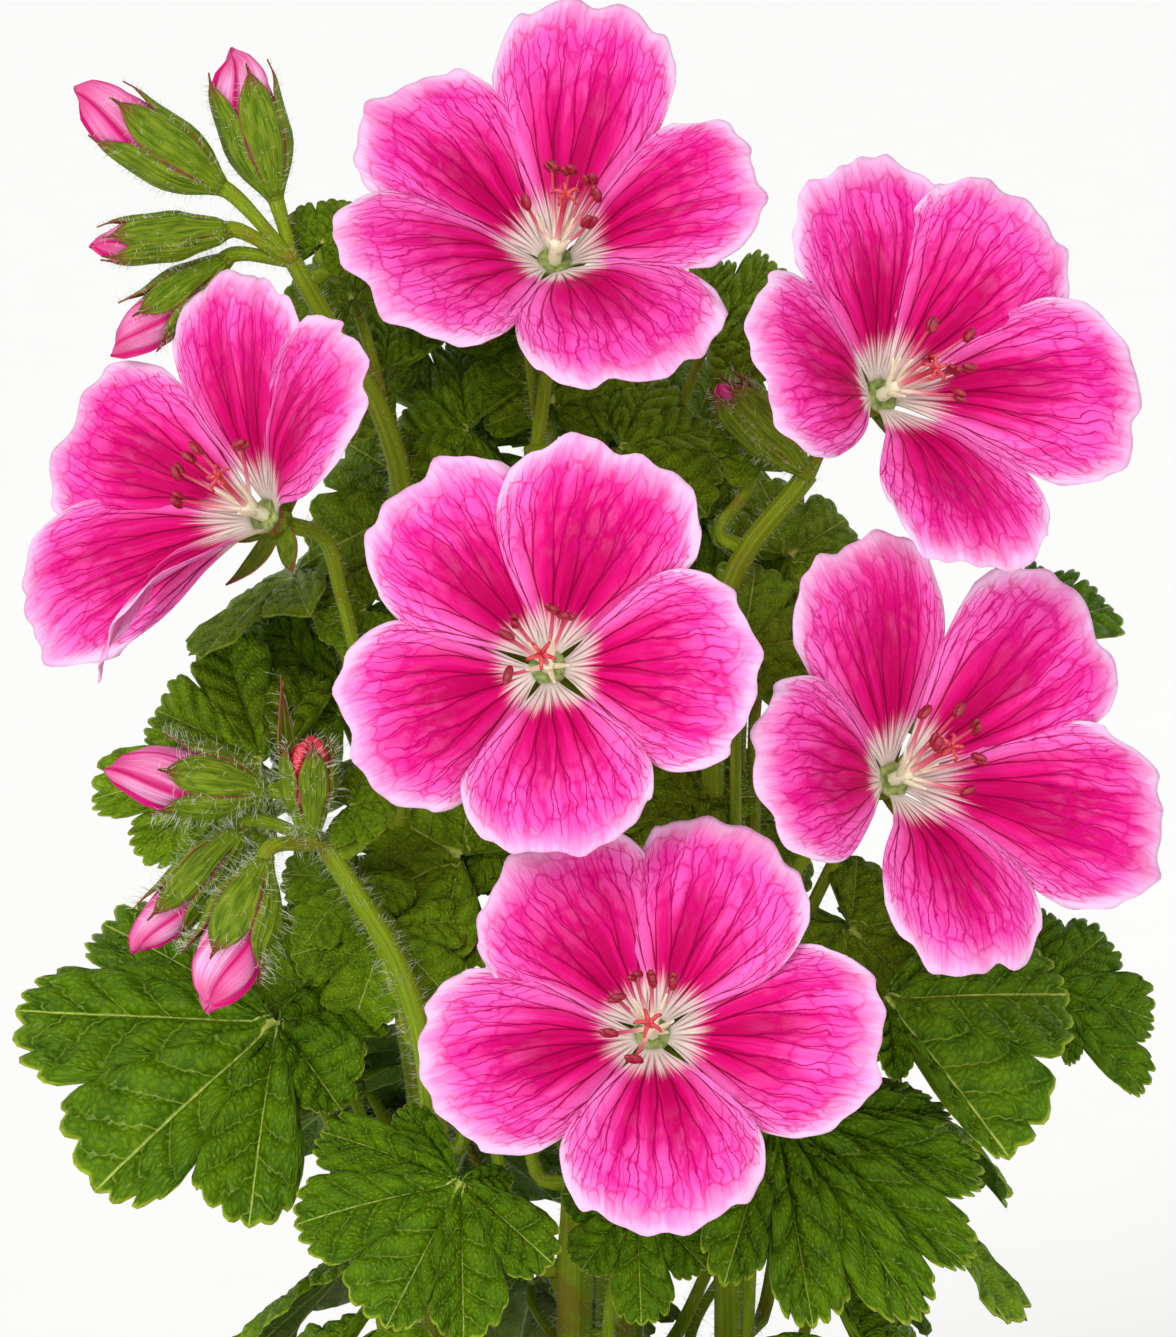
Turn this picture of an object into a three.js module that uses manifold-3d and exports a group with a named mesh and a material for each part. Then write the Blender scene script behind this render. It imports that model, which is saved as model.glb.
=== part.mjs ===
// A regal pelargonium in bloom, standing in a plain clay pot.
// Units are millimetres, +Z is up, the floor is z = 0 and the plant's front faces -Y.
import * as THREE from 'three';
import { mergeVertices } from 'three/addons/utils/BufferGeometryUtils.js';
import Module from 'manifold-3d';

const wasm = await Module();
wasm.setup();

// Driving dimensions of the pot and its soil
const POT_HEIGHT = 98;
const POT_RIM_RADIUS = 60;
const POT_BASE_RADIUS = 42;
const POT_WALL = 4.2;
const RIM_BAND_HEIGHT = 24;
const RIM_BAND_STEP = 3.2;
const POT_FLOOR = 6;
const DRAIN_RADIUS = 4;
const DRAIN_CIRCLE = 22;
const DRAIN_COUNT = 3;
const POT_SIDES = 30;
const SOIL_TOP = POT_HEIGHT - 9;
const ROOT_DEPTH = 34;

// Thicknesses and gaps
const GAP = 0.35;
const BLADE = 0.62;
const PETAL = 0.6;

// Facets finer than this are merged where solids are joined
const FACET = 0.06;

// Driving dimensions of the flowers
const CLAW_RADIUS = 2;
const CLAW_WIDTH = 1.9;
const PETAL_LAYER = 1;
const STAMEN_HEIGHT = 11.5;
const FLOWER_CALYX = { hub: -2.1, ring: [2.2, -2.1], belly: [5.4, -2.2], tip: [10.5, 0.3], width: 3.6 };

// How the front of the plant is seen: a long view, a little from above.
// One pixel of the picture is PIXEL millimetres wide on the plane through TARGET.
const VIEW_TILT = THREE.MathUtils.degToRad(15);
const VIEW_DISTANCE = 900;
const PIXEL = 0.14;
const PICTURE_CENTRE = [588, 668.5];
const TARGET = new THREE.Vector3(0, -5, 228);
const ACROSS = new THREE.Vector3(1, 0, 0);
const UPWARD = new THREE.Vector3(0, Math.sin(VIEW_TILT), Math.cos(VIEW_TILT));
const TO_VIEWER = new THREE.Vector3(0, -Math.cos(VIEW_TILT), Math.sin(VIEW_TILT));

// The point seen at a pixel, "toward" millimetres nearer to the viewer than TARGET
function seen(px, py, toward) {
  const nearer = 1 - toward / VIEW_DISTANCE;
  return TARGET.clone()
    .addScaledVector(ACROSS, (px - PICTURE_CENTRE[0]) * PIXEL * nearer)
    .addScaledVector(UPWARD, (PICTURE_CENTRE[1] - py) * PIXEL * nearer)
    .addScaledVector(TO_VIEWER, toward);
}

// Where the line of sight through a pixel meets the plane "height" above a place
function sightOnPlane(px, py, place, normal, height) {
  const start = seen(px, py, 0);
  const way = seen(px, py, 1).sub(start);
  const toward = (height - start.clone().sub(place).dot(normal)) / way.dot(normal);
  return start.addScaledVector(way, toward);
}

// A direction turned to the viewer's right and tilted up from the line to the viewer
function facing(turn, tilt) {
  const a = THREE.MathUtils.degToRad(turn);
  const b = THREE.MathUtils.degToRad(tilt);
  return new THREE.Vector3()
    .addScaledVector(ACROSS, Math.sin(a) * Math.cos(b))
    .addScaledVector(UPWARD, Math.sin(b))
    .addScaledVector(TO_VIEWER, Math.cos(a) * Math.cos(b));
}

// A repeatable draw between 0 and 1
function draw(seed) {
  const value = Math.sin(seed * 12.9898 + 4.1414) * 43758.5453;
  return value - Math.floor(value);
}

const lerp = THREE.MathUtils.lerp;
const vec = (x, y, z) => new THREE.Vector3(x, y, z);

// Solids

// A closed solid from a geometry whose doubled corners are merged
function solid(geometry) {
  const bare = geometry.index ? geometry : mergeVertices(geometry);
  bare.deleteAttribute('normal');
  bare.deleteAttribute('uv');
  const merged = mergeVertices(bare, 1e-4);
  const corners = merged.index.array;
  const kept = [];
  for (let i = 0; i < corners.length; i += 3) {
    const [a, b, c] = [corners[i], corners[i + 1], corners[i + 2]];
    if (a !== b && b !== c && a !== c) kept.push(a, b, c);
  }
  return new wasm.Manifold(new wasm.Mesh({
    numProp: 3,
    vertProperties: new Float32Array(merged.attributes.position.array),
    triVerts: new Uint32Array(kept),
  }));
}

function solidOf(positions, faces) {
  const geometry = new THREE.BufferGeometry();
  geometry.setAttribute('position', new THREE.Float32BufferAttribute(positions, 3));
  geometry.setIndex(faces);
  return solid(geometry);
}

// Solids joined in one body; a scrap that hangs on nothing is dropped
function fuse(solids) {
  let whole = solids[0];
  for (const next of solids.slice(1)) whole = whole.add(next);
  const bodies = whole.simplify(FACET).decompose();
  bodies.sort((a, b) => b.volume() - a.volume());
  return bodies[0];
}

function geometryOf(body) {
  const mesh = body.getMesh();
  const geometry = new THREE.BufferGeometry();
  geometry.setAttribute('position', new THREE.BufferAttribute(mesh.vertProperties, 3));
  geometry.setIndex(new THREE.BufferAttribute(mesh.triVerts, 1));
  return geometry;
}

// A sheet of even thickness on both sides of a surface, with both of its faces split alike
function thicken(points, triangles, thickness) {
  const normals = points.map(() => vec(0, 0, 0));
  const open = new Map();
  for (const [a, b, c] of triangles) {
    const face = points[b].clone().sub(points[a]).cross(points[c].clone().sub(points[a]));
    for (const corner of [a, b, c]) normals[corner].add(face);
    for (const [from, to] of [[a, b], [b, c], [c, a]]) {
      if (!open.delete(`${to} ${from}`)) open.set(`${from} ${to}`, [from, to]);
    }
  }
  const positions = [];
  for (const side of [1, -1]) {
    points.forEach((middle, i) => {
      const point = middle.clone().addScaledVector(normals[i].clone().normalize(), side * thickness / 2);
      positions.push(point.x, point.y, point.z);
    });
  }
  const back = points.length;
  const faces = [];
  for (const [a, b, c] of triangles) faces.push(a, b, c, back + a, back + c, back + b);
  for (const [from, to] of open.values()) faces.push(to, from, back + from, to, back + from, back + to);
  return solidOf(positions, faces);
}

// A sheet over rows of points; the first row may be one single point
function sheet(rows, thickness) {
  const count = rows[0].length;
  const single = rows[0][0].distanceTo(rows[0][count - 1]) < 1e-6;
  const at = (r, c) => {
    if (!single) return r * count + c;
    return r === 0 ? 0 : 1 + (r - 1) * count + c;
  };
  const triangles = [];
  for (let r = 0; r + 1 < rows.length; r += 1) {
    for (let c = 0; c + 1 < count; c += 1) {
      if (!single || r > 0) triangles.push([at(r, c), at(r, c + 1), at(r + 1, c + 1)]);
      triangles.push([at(r, c), at(r + 1, c + 1), at(r + 1, c)]);
    }
  }
  const points = single ? [rows[0][0], ...rows.slice(1).flat()] : rows.flat();
  return thicken(points, triangles, thickness);
}

// A closed tube through rings: each ring has a centre, two directions across it and a radius
function ringTube(rings, sides) {
  const positions = [];
  for (const { centre, one, other, radius } of rings) {
    for (let k = 0; k < sides; k += 1) {
      const angle = k / sides * 2 * Math.PI;
      const point = centre.clone()
        .addScaledVector(one, Math.cos(angle) * radius)
        .addScaledVector(other, Math.sin(angle) * radius);
      positions.push(point.x, point.y, point.z);
    }
  }
  const faces = [];
  for (let s = 0; s + 1 < rings.length; s += 1) {
    for (let k = 0; k < sides; k += 1) {
      const a = s * sides + k;
      const b = s * sides + (k + 1) % sides;
      faces.push(a, b, b + sides, a, b + sides, a + sides);
    }
  }
  const last = (rings.length - 1) * sides;
  for (let k = 1; k + 1 < sides; k += 1) {
    faces.push(0, k + 1, k);
    faces.push(last, last + k, last + k + 1);
  }
  return solidOf(positions, faces);
}

// A round tube along a smooth curve, its radius going through the given radii
function tube(points, radii, sides, steps) {
  const curve = new THREE.CatmullRomCurve3(points, false, 'centripetal');
  const frames = curve.computeFrenetFrames(steps, false);
  const rings = [];
  for (let s = 0; s <= steps; s += 1) {
    const place = s / steps * (radii.length - 1);
    const low = Math.min(Math.floor(place), radii.length - 2);
    rings.push({
      centre: curve.getPointAt(s / steps),
      one: frames.normals[s],
      other: frames.binormals[s],
      radius: lerp(radii[low], radii[low + 1], place - low),
    });
  }
  return ringTube(rings, sides);
}

// A nearly straight tube with a ring of its own radius at each point
function taper(points, radii, sides) {
  const way = points[points.length - 1].clone().sub(points[0]).normalize();
  const [one, other] = squareTo(way, Math.abs(way.z) < 0.9 ? vec(0, 0, 1) : ACROSS);
  return ringTube(points.map((centre, i) => ({ centre, one, other, radius: radii[i] })), sides);
}

// Two directions square to an axis
function squareTo(axis, hint) {
  const side = hint.clone().addScaledVector(axis, -hint.dot(axis)).normalize();
  return [side, axis.clone().cross(side)];
}

// Leaves

// Half-way place of a lobe where its shoulder is sampled, and the depth of the notches
const SHOULDER = 0.55;
const NOTCH = 0.84;
const OUTER_NOTCH = 0.8;
const LARGE_LEAF = 24;
const LOBE_SPREAD = { large: [-128, -86, -43, 0, 43, 86, 128], small: [-118, -60, 0, 60, 118] };
const LOBE_REACH = { large: [0.74, 0.86, 0.96, 1, 0.96, 0.86, 0.74], small: [0.8, 0.94, 1, 0.94, 0.8] };

// The reach of the outline at p, from the lobe's tip (0) to the notch beside it (1)
function lobeReach(tip, notch, p) {
  return notch + (tip - notch) * Math.pow(1 - Math.pow(Math.abs(p), 2.4), 0.6);
}

// The outline as a list of angle, reach and p
function lobedOutline(lobes, shoulders) {
  const outline = [];
  lobes.forEach((lobe, i) => {
    const before = i > 0 ? (lobe.angle - lobes[i - 1].angle) / 2 : 0;
    const after = i + 1 < lobes.length ? (lobes[i + 1].angle - lobe.angle) / 2 : 0;
    const left = before || after * 0.9;
    const right = after || before * 0.9;
    const lastNotch = NOTCH * OUTER_NOTCH * lobe.reach;
    const notchLeft = i > 0 ? NOTCH * Math.min(lobe.reach, lobes[i - 1].reach) : lastNotch;
    const notchRight = i + 1 < lobes.length ? NOTCH * Math.min(lobe.reach, lobes[i + 1].reach) : lastNotch;
    if (i === 0) outline.push({ angle: lobe.angle - left, reach: notchLeft, p: 1 });
    for (const p of shoulders) {
      const span = p < 0 ? left : right;
      const reach = lobeReach(lobe.reach, p < 0 ? notchLeft : notchRight, p);
      outline.push({ angle: lobe.angle + p * span, reach, p });
    }
    outline.push({ angle: lobe.angle + right, reach: notchRight, p: 1 });
  });
  return outline;
}

// The height of the blade above its plane
function bladeHeight(leaf, share, p, angle) {
  const pleat = leaf.pleat * leaf.size * Math.pow(share, 1.3) * (1 - Math.cos(Math.PI * p)) / 2;
  const dome = -leaf.dome * leaf.size * share * share;
  const fold = leaf.fold * leaf.size * share * Math.abs(Math.sin(angle));
  return pleat + dome + fold;
}

// Where the outline and the blade are sampled: a leaf that stands in front has its lobes' tips too
const FINE_BLADE = { shoulders: [-SHOULDER, 0, SHOULDER], rings: [0, 1] };
const PLAIN_BLADE = { shoulders: [-SHOULDER, SHOULDER], rings: [0, 1] };

// How far along the midrib the stalk meets the blade
const STALK_SEAT = 2.4;

// A separate leaf's stalk begins this far off the stem, whose sides are flat
const STALK_GAP = 0.8;
const STALK_RADII = [1.2, 0.95, 0.9, 0.85, 0.6];

function leafBlade(leaf, shoulders, rings) {
  const side = leaf.normal.clone().cross(leaf.midrib);
  const outline = lobedOutline(leaf.lobes, shoulders);
  const rows = rings.map((share) => outline.map(({ angle, reach, p }) => {
    const r = reach * share;
    return leaf.centre.clone()
      .addScaledVector(leaf.midrib, Math.cos(angle) * r)
      .addScaledVector(side, Math.sin(angle) * r)
      .addScaledVector(leaf.normal, bladeHeight(leaf, share, p, angle));
  }));
  return sheet(rows, BLADE);
}

// A leaf on its own stalk, which begins just clear of the stem that it grows from
function leafSolid(leaf, { shoulders, rings }, sunk) {
  const blade = leafBlade(leaf, shoulders, rings);
  const reach = leaf.centre.clone().sub(leaf.foot);
  const outward = reach.clone().addScaledVector(leaf.stemWay, -reach.dot(leaf.stemWay)).normalize();
  const start = leaf.foot.clone().addScaledVector(outward, sunk ? 0 : leaf.stemRadius + STALK_GAP);
  const slope = bladeHeight(leaf, rings[1], 0, 0) / (rings[1] * leaf.size);
  const end = leaf.centre.clone()
    .addScaledVector(leaf.midrib, STALK_SEAT)
    .addScaledVector(leaf.normal, slope * STALK_SEAT);
  const under = end.clone()
    .addScaledVector(leaf.normal, -leaf.size * 0.14)
    .addScaledVector(leaf.midrib, -leaf.size * 0.08);
  const middle = start.clone().lerp(under, 0.5);
  middle.z += leaf.sag * reach.length();
  const elbow = start.clone().addScaledVector(outward, 2.5);
  const route = [start, elbow, middle, under, end];
  const stalk = sunk ? tube(route, STALK_RADII, 3, 4) : tube(route, STALK_RADII, 4, 5);
  return fuse([blade, stalk]);
}

// The lobes of a leaf whose tips are seen in the picture, in order round the blade
function lobesSeen(tips, centre, normal, midrib) {
  const side = normal.clone().cross(midrib);
  const lobes = tips.map(([px, py]) => {
    const arm = sightOnPlane(px, py, centre, normal, 0).sub(centre);
    return { angle: Math.atan2(arm.dot(side), arm.dot(midrib)), reach: arm.length() };
  });
  lobes.sort((a, b) => a.angle - b.angle);
  return lobes;
}

function lobesByRule(size, seed) {
  const kind = size >= LARGE_LEAF ? 'large' : 'small';
  return LOBE_SPREAD[kind].map((degrees, i) => ({
    angle: THREE.MathUtils.degToRad(degrees + 8 * (draw(seed + i) - 0.5)),
    reach: size * LOBE_REACH[kind][i] * (0.93 + 0.14 * draw(seed * 1.7 + i)),
  }));
}

// Stems: foot in the soil, then the route, then the radii along it
const STEMS = {
  left: {
    foot: [-20, -12],
    route: [
      vec(-21, -14, 128), seen(427, 1062, 0), seen(397, 962, 0),
      seen(360, 900, 1), seen(325, 845, 2),
    ],
    radii: [3, 2.8, 2.6, 2.4, 1.6, 1.5],
  },
  upper_left: {
    foot: [-17, 12],
    route: [
      vec(-22, 12, 140), vec(-27, 10, 196), seen(404, 500, -14),
      seen(381, 412, -10), seen(335, 335, -6), seen(294, 262, -3),
    ],
    radii: [2.9, 2.6, 2.3, 2, 1.7, 1.3],
  },
  centre: {
    foot: [0, -12],
    route: [vec(-2, -13, 130), vec(-1, -10, 158), vec(2, -8, 178)],
    radii: [3, 2.8, 2.5, 2.2],
  },
  top: {
    foot: [4, 12],
    route: [vec(3, 14, 150), vec(-2, 17, 205), seen(537, 446, -16)],
    radii: [2.9, 2.6, 2.2, 1.9],
  },
  right: {
    foot: [21, -3],
    route: [vec(21, -2, 130), vec(19, 2, 176), seen(728, 590, -9), seen(808, 474, -5)],
    radii: [3, 2.7, 2.4, 1.7, 1.5],
  },
  back: {
    foot: [6, 30],
    route: [vec(5, 36, 144), vec(2, 41, 176), vec(0, 44, 198)],
    radii: [2.8, 2.5, 2.1, 1.6],
  },
};

for (const stem of Object.values(STEMS)) {
  const [x, y] = stem.foot;
  const points = [vec(x, y, SOIL_TOP - ROOT_DEPTH), vec(x, y, SOIL_TOP + 6), ...stem.route];
  stem.curve = new THREE.CatmullRomCurve3(points, false, 'centripetal');
  stem.points = points;
}

// The place on a stem at a share of its length, with its direction and radius there
function onStem(name, share) {
  const stem = STEMS[name];
  const place = share * (stem.radii.length - 1);
  const low = Math.min(Math.floor(place), stem.radii.length - 2);
  return {
    foot: stem.curve.getPointAt(share),
    stemWay: stem.curve.getTangentAt(share),
    stemRadius: lerp(stem.radii[low], stem.radii[low + 1], place - low),
  };
}

// Leaves that the picture shows: centre and lobe tips in pixels, the leaf's turn and tilt
const SEEN_LEAVES = [
  {
    name: 'leaf_low_left', stem: 'left', share: 0.44,
    centre: [277, 1022], toward: -7, turn: -6, tilt: 34, middle: [92, 1180],
    tips: [[388, 990], [338, 1098], [244, 1208], [92, 1180], [14, 1002], [98, 906]],
  },
  {
    name: 'leaf_front_left', stem: 'left', share: 0.33,
    centre: [461, 1182], toward: 14, turn: -4, tilt: 26, middle: [385, 1326],
    tips: [[512, 1172], [552, 1258], [462, 1336], [385, 1326], [292, 1215], [318, 1122], [404, 1102]],
  },
  {
    name: 'leaf_front_middle', stem: 'centre', share: 0.5,
    centre: [636, 1196], toward: 6, turn: 4, tilt: 12, middle: [642, 1325],
    tips: [[722, 1190], [708, 1268], [642, 1325], [582, 1270], [562, 1192]],
  },
  {
    name: 'leaf_front_right', stem: 'right', share: 0.3,
    centre: [775, 1112], toward: 6, turn: 8, tilt: 26, middle: [925, 1312],
    tips: [[955, 1104], [988, 1172], [972, 1262], [925, 1312], [817, 1320], [730, 1270], [690, 1160]],
  },
  {
    name: 'leaf_right', stem: 'right', share: 0.46,
    centre: [884, 998], toward: -6, turn: 14, tilt: 40, middle: [1014, 1146],
    tips: [[1000, 905], [1072, 985], [1014, 1146], [925, 1050], [870, 1060]],
  },
  {
    name: 'leaf_far_right', stem: 'right', share: 0.5,
    centre: [1046, 985], toward: -22, turn: 30, tilt: 22, middle: [1152, 1088],
    tips: [[1040, 902], [1112, 930], [1160, 1016], [1152, 1088], [1086, 1058]],
  },
  {
    name: 'leaf_tip_right', plain: true, stem: 'right', share: 0.6,
    centre: [1010, 640], toward: -26, turn: 28, tilt: 50, middle: [1117, 592],
    tips: [[1000, 575], [1058, 554], [1117, 592], [1090, 660], [1010, 700]],
  },
  {
    name: 'leaf_mid_left', stem: 'upper_left', share: 0.52,
    centre: [262, 762], toward: -20, turn: -14, tilt: 22, middle: [84, 790],
    tips: [[316, 668], [221, 634], [148, 700], [84, 790], [132, 850], [240, 868]],
  },
  {
    name: 'leaf_behind_left', plain: true, stem: 'upper_left', share: 0.6,
    centre: [342, 712], toward: -26, turn: -10, tilt: 24, middle: [268, 612],
    tips: [[404, 640], [330, 606], [268, 612], [262, 700], [290, 790]],
  },
  {
    name: 'leaf_top_left', plain: true, stem: 'upper_left', share: 0.8,
    centre: [384, 372], toward: -20, turn: -12, tilt: 40, middle: [342, 300],
    tips: [[440, 330], [392, 296], [342, 300], [326, 372], [352, 432]],
  },
  {
    name: 'leaf_top_middle', plain: true, stem: 'top', share: 0.86,
    centre: [468, 430], toward: -22, turn: -16, tilt: 42, middle: [392, 350],
    tips: [[524, 362], [452, 330], [392, 350], [388, 430], [420, 510], [500, 536]],
  },
  {
    name: 'leaf_under_top', plain: true, stem: 'top', share: 0.9,
    centre: [620, 446], toward: -20, turn: 14, tilt: 44, middle: [714, 420],
    tips: [[590, 374], [656, 366], [718, 420], [712, 500], [640, 556], [556, 540]],
  },
  {
    name: 'leaf_top_right', plain: true, stem: 'top', share: 0.76,
    centre: [705, 345], toward: -29, turn: 20, tilt: 40, middle: [778, 252],
    tips: [[665, 280], [718, 246], [778, 252], [786, 330], [760, 392]],
  },
];

function seenLeaf(entry) {
  const centre = seen(...entry.centre, entry.toward);
  const normal = facing(entry.turn, entry.tilt);
  const midrib = sightOnPlane(...entry.middle, centre, normal, 0).sub(centre).normalize();
  const lobes = lobesSeen(entry.tips, centre, normal, midrib);
  const size = Math.max(...lobes.map((lobe) => lobe.reach));
  return {
    centre, normal, midrib, lobes, size,
    pleat: 0.09, dome: 0.1, fold: 0, sag: 0.06,
    ...onStem(entry.stem, entry.share),
  };
}

// Leaves placed by rule round the sides and back of the plant, on the stem that carries them:
// stem, share of its length, bearing from +X towards +Y, distance from the pot's axis, height, size
const LEAFY = [
  ['left', 0.2, 206, 58, 128, 27],
  ['left', 0.26, 170, 56, 150, 24],
  ['upper_left', 0.24, 142, 62, 128, 29],
  ['upper_left', 0.34, 140, 62, 160, 27],
  ['upper_left', 0.5, 128, 60, 204, 24],
  ['upper_left', 0.68, 152, 60, 234, 20],
  ['centre', 0.36, 254, 56, 126, 23],
  ['centre', 0.42, 294, 66, 128, 25],
  ['top', 0.3, 114, 58, 144, 26],
  ['top', 0.5, 66, 54, 240, 22],
  ['top', 0.6, 112, 36, 274, 20],
  ['right', 0.2, 336, 60, 128, 26],
  ['right', 0.26, 2, 62, 150, 29],
  ['right', 0.36, 30, 62, 180, 27],
  ['right', 0.54, 44, 66, 216, 23],
  ['back', 0.26, 100, 64, 118, 28],
  ['back', 0.3, 54, 64, 132, 30],
  ['back', 0.4, 26, 62, 158, 26],
  ['back', 0.46, 110, 46, 162, 26],
  ['back', 0.56, 80, 70, 180, 26],
];

// Leaves glimpsed between the blooms: stem, share of its length, centre in pixels, "toward",
// turn and tilt, where in the picture the midrib points (degrees up from the right), size
const GLIMPSED = [
  ['upper_left', 0.42, [460, 856], -16, -12, 30, 150, 20],
  ['centre', 0.7, [388, 930], -10, -8, 24, 250, 15],
  ['right', 0.42, [700, 850], -24, 16, 30, 60, 20],
  ['right', 0.5, [742, 650], -5, 14, 24, 80, 15],
  ['upper_left', 0.7, [436, 500], -24, -16, 34, 200, 20],
  ['right', 0.7, [790, 556], -16, 24, 30, 40, 14],
];

// Low leaves hang, high leaves stand nearer to level
const LOW_DROOP = 48;
const HIGH_DROOP = 22;
const LEAFY_HEIGHT = 170;

function leafByRule([stem, share, bearing, distance, height, size], seed) {
  const a = THREE.MathUtils.degToRad(bearing);
  const outward = vec(Math.cos(a), Math.sin(a), 0);
  const lift = (height - POT_HEIGHT) / LEAFY_HEIGHT;
  const droop = THREE.MathUtils.degToRad(lerp(LOW_DROOP, HIGH_DROOP, lift) + 10 * (draw(seed) - 0.5));
  const midrib = outward.clone().multiplyScalar(Math.cos(droop));
  midrib.z = -Math.sin(droop);
  const normal = outward.clone().multiplyScalar(Math.sin(droop));
  normal.z = Math.cos(droop);
  const roll = THREE.MathUtils.degToRad(24 * (draw(seed + 0.5) - 0.5));
  normal.applyAxisAngle(midrib, roll);
  return {
    centre: vec(Math.cos(a) * (distance - size * 0.6), Math.sin(a) * (distance - size * 0.6), height),
    normal, midrib, lobes: lobesByRule(size, seed), size,
    pleat: 0.1, dome: 0.12, fold: 0, sag: 0.08,
    ...onStem(stem, share),
  };
}

function glimpsedLeaf([stem, share, [px, py], toward, turn, tilt, points, size], seed) {
  const centre = seen(px, py, toward);
  const normal = facing(turn, tilt);
  const a = THREE.MathUtils.degToRad(points);
  const ahead = [px + 100 * Math.cos(a), py - 100 * Math.sin(a)];
  const midrib = sightOnPlane(...ahead, centre, normal, 0).sub(centre).normalize();
  return {
    centre, normal, midrib, lobes: lobesByRule(size, seed), size,
    pleat: 0.1, dome: 0.12, fold: 0, sag: 0.06,
    ...onStem(stem, share),
  };
}

// Flowers: throat and petal tips in pixels, petal widths in millimetres, and which petal lies
// over which (a higher layer is nearer to the flower's front)
const FLOWERS = [
  {
    name: 'top', stem: 'top', from: 1,
    throat: [555, 262], toward: -2, turn: 2, tilt: 36, rise: 12,
    petals: [
      [603, 3, 26, 1], [762, 190, 26, 2], [652, 394, 28, 3],
      [352, 288, 27, 2], [378, 96, 27, 0],
    ],
    anthers: [[552, 167], [569, 171], [590, 180], [596, 194], [526, 202], [589, 222]],
    stigma: [566, 191],
  },
  {
    name: 'upper_right', stem: 'right', from: 1,
    throat: [880, 396], toward: 3, turn: 32, tilt: 17, rise: 13,
    petals: [
      [848, 158, 27, 0], [1022, 200, 27, 1], [1136, 402, 27, 2],
      [978, 578, 26, 3], [753, 368, 27, 1],
    ],
    anthers: [[932, 325], [969, 335], [969, 368], [954, 370], [959, 395], [929, 359]],
    stigma: [938, 367],
  },
  {
    name: 'left', stem: 'upper_left', from: 0.62,
    throat: [266, 516], toward: 3, turn: -43, tilt: 15, rise: 14,
    petals: [
      [252, 274, 26, 1], [368, 352, 24, 2], [205, 600, 24, 3, 19],
      [24, 618, 26, 1], [62, 420, 26, 0],
    ],
    anthers: [[196, 448], [189, 457], [178, 472], [178, 500], [241, 445]],
    stigma: [214, 476],
    knee: [342, 596, -6],
  },
  {
    name: 'centre', stem: 'centre', from: 1,
    throat: [548, 667], toward: 24, turn: 0, tilt: 5, rise: 8,
    petals: [
      [410, 478, 26, 1], [618, 444, 28, 2], [758, 668, 27, 3],
      [572, 856, 25.5, 4], [346, 742, 27, 0],
    ],
    anthers: [[506, 635], [515, 621], [553, 609], [566, 616], [508, 675]],
    stigma: [541, 654],
  },
  {
    name: 'right', stem: 'right', from: 0.6,
    throat: [892, 780], toward: 4, turn: 32, tilt: 13, rise: 13,
    petals: [
      [852, 537, 27, 0], [1094, 616, 28, 1], [1160, 846, 27, 2],
      [976, 982, 26, 3], [752, 764, 26, 1],
    ],
    anthers: [[925, 712], [959, 710], [976, 727], [979, 759], [968, 791], [936, 742]],
    stigma: [954, 746],
  },
  {
    name: 'bottom', stem: 'centre', from: 0.9,
    throat: [652, 1034], toward: 22, turn: 0, tilt: 20, rise: 9,
    petals: [
      [520, 855, 27, 0], [756, 834, 27, 1], [885, 1046, 28, 0],
      [668, 1238, 27, 3], [424, 1086, 27, 1],
    ],
    anthers: [[609, 1033], [617, 998], [635, 976], [673, 981], [634, 1059], [652, 979]],
    stigma: [649, 1021],
  },
];

// A flower's own frame and its petals' bearings and reaches, worked out from the picture
function seenFlower(entry) {
  const throat = seen(...entry.throat, entry.toward);
  const axis = facing(entry.turn, entry.tilt);
  const [right, above] = squareTo(axis, ACROSS);
  const polar = (point) => {
    const arm = point.clone().sub(throat);
    return [Math.atan2(arm.dot(above), arm.dot(right)), Math.hypot(arm.dot(above), arm.dot(right))];
  };
  const petals = entry.petals.map(([px, py, width, layer, rise = entry.rise]) => {
    const [bearing, reach] = polar(sightOnPlane(px, py, throat, axis, rise));
    return { bearing, reach, width, layer, rise };
  });
  const anthers = entry.anthers.map(([px, py], i) => {
    const height = STAMEN_HEIGHT + 1.5 * (draw(i + throat.x) - 0.5);
    return sightOnPlane(px, py, throat, axis, height);
  });
  const stigma = sightOnPlane(...entry.stigma, throat, axis, STAMEN_HEIGHT + 1);
  return { ...entry, throat, axis, right, above, petals, anthers, stigma };
}

// Flowers at the back of the plant, with petals by rule: throat, axis
const BACK_FLOWERS = [
  { name: 'back', stem: 'back', from: 1, throat: vec(-4, 60, 211), axis: vec(-0.16, 0.88, 0.42), rise: 10 },
];

function flowerByRule(entry, seed) {
  const axis = entry.axis.clone().normalize();
  const [right, above] = squareTo(axis, vec(axis.y, -axis.x, 0));
  const petals = [0, 1, 2, 3, 4].map((k) => ({
    bearing: THREE.MathUtils.degToRad(90 - 72 * k + 6 * (draw(seed + k) - 0.5)),
    reach: 28 + 2.5 * draw(seed * 2 + k),
    width: 26,
    layer: [0, 1, 2, 3, 1][k],
    rise: entry.rise,
  }));
  const anthers = [0, 1, 2, 3, 4, 5].map((k) => {
    const a = k / 6 * 2 * Math.PI + draw(seed + k);
    return entry.throat.clone()
      .addScaledVector(axis, STAMEN_HEIGHT + draw(seed + 3 * k))
      .addScaledVector(right, 5 * Math.cos(a))
      .addScaledVector(above, 5 * Math.sin(a));
  });
  const stigma = entry.throat.clone().addScaledVector(axis, STAMEN_HEIGHT + 2);
  return { ...entry, axis, right, above, petals, anthers, stigma };
}

// A petal's surface: u runs across from -1 to 1, v from the claw (0) to the margin (1)
const PETAL_COLUMNS = 4;
const PETAL_ROWS = [0, 0.3, 0.66, 1];
const PETAL_SHOULDER = 0.64;

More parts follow.
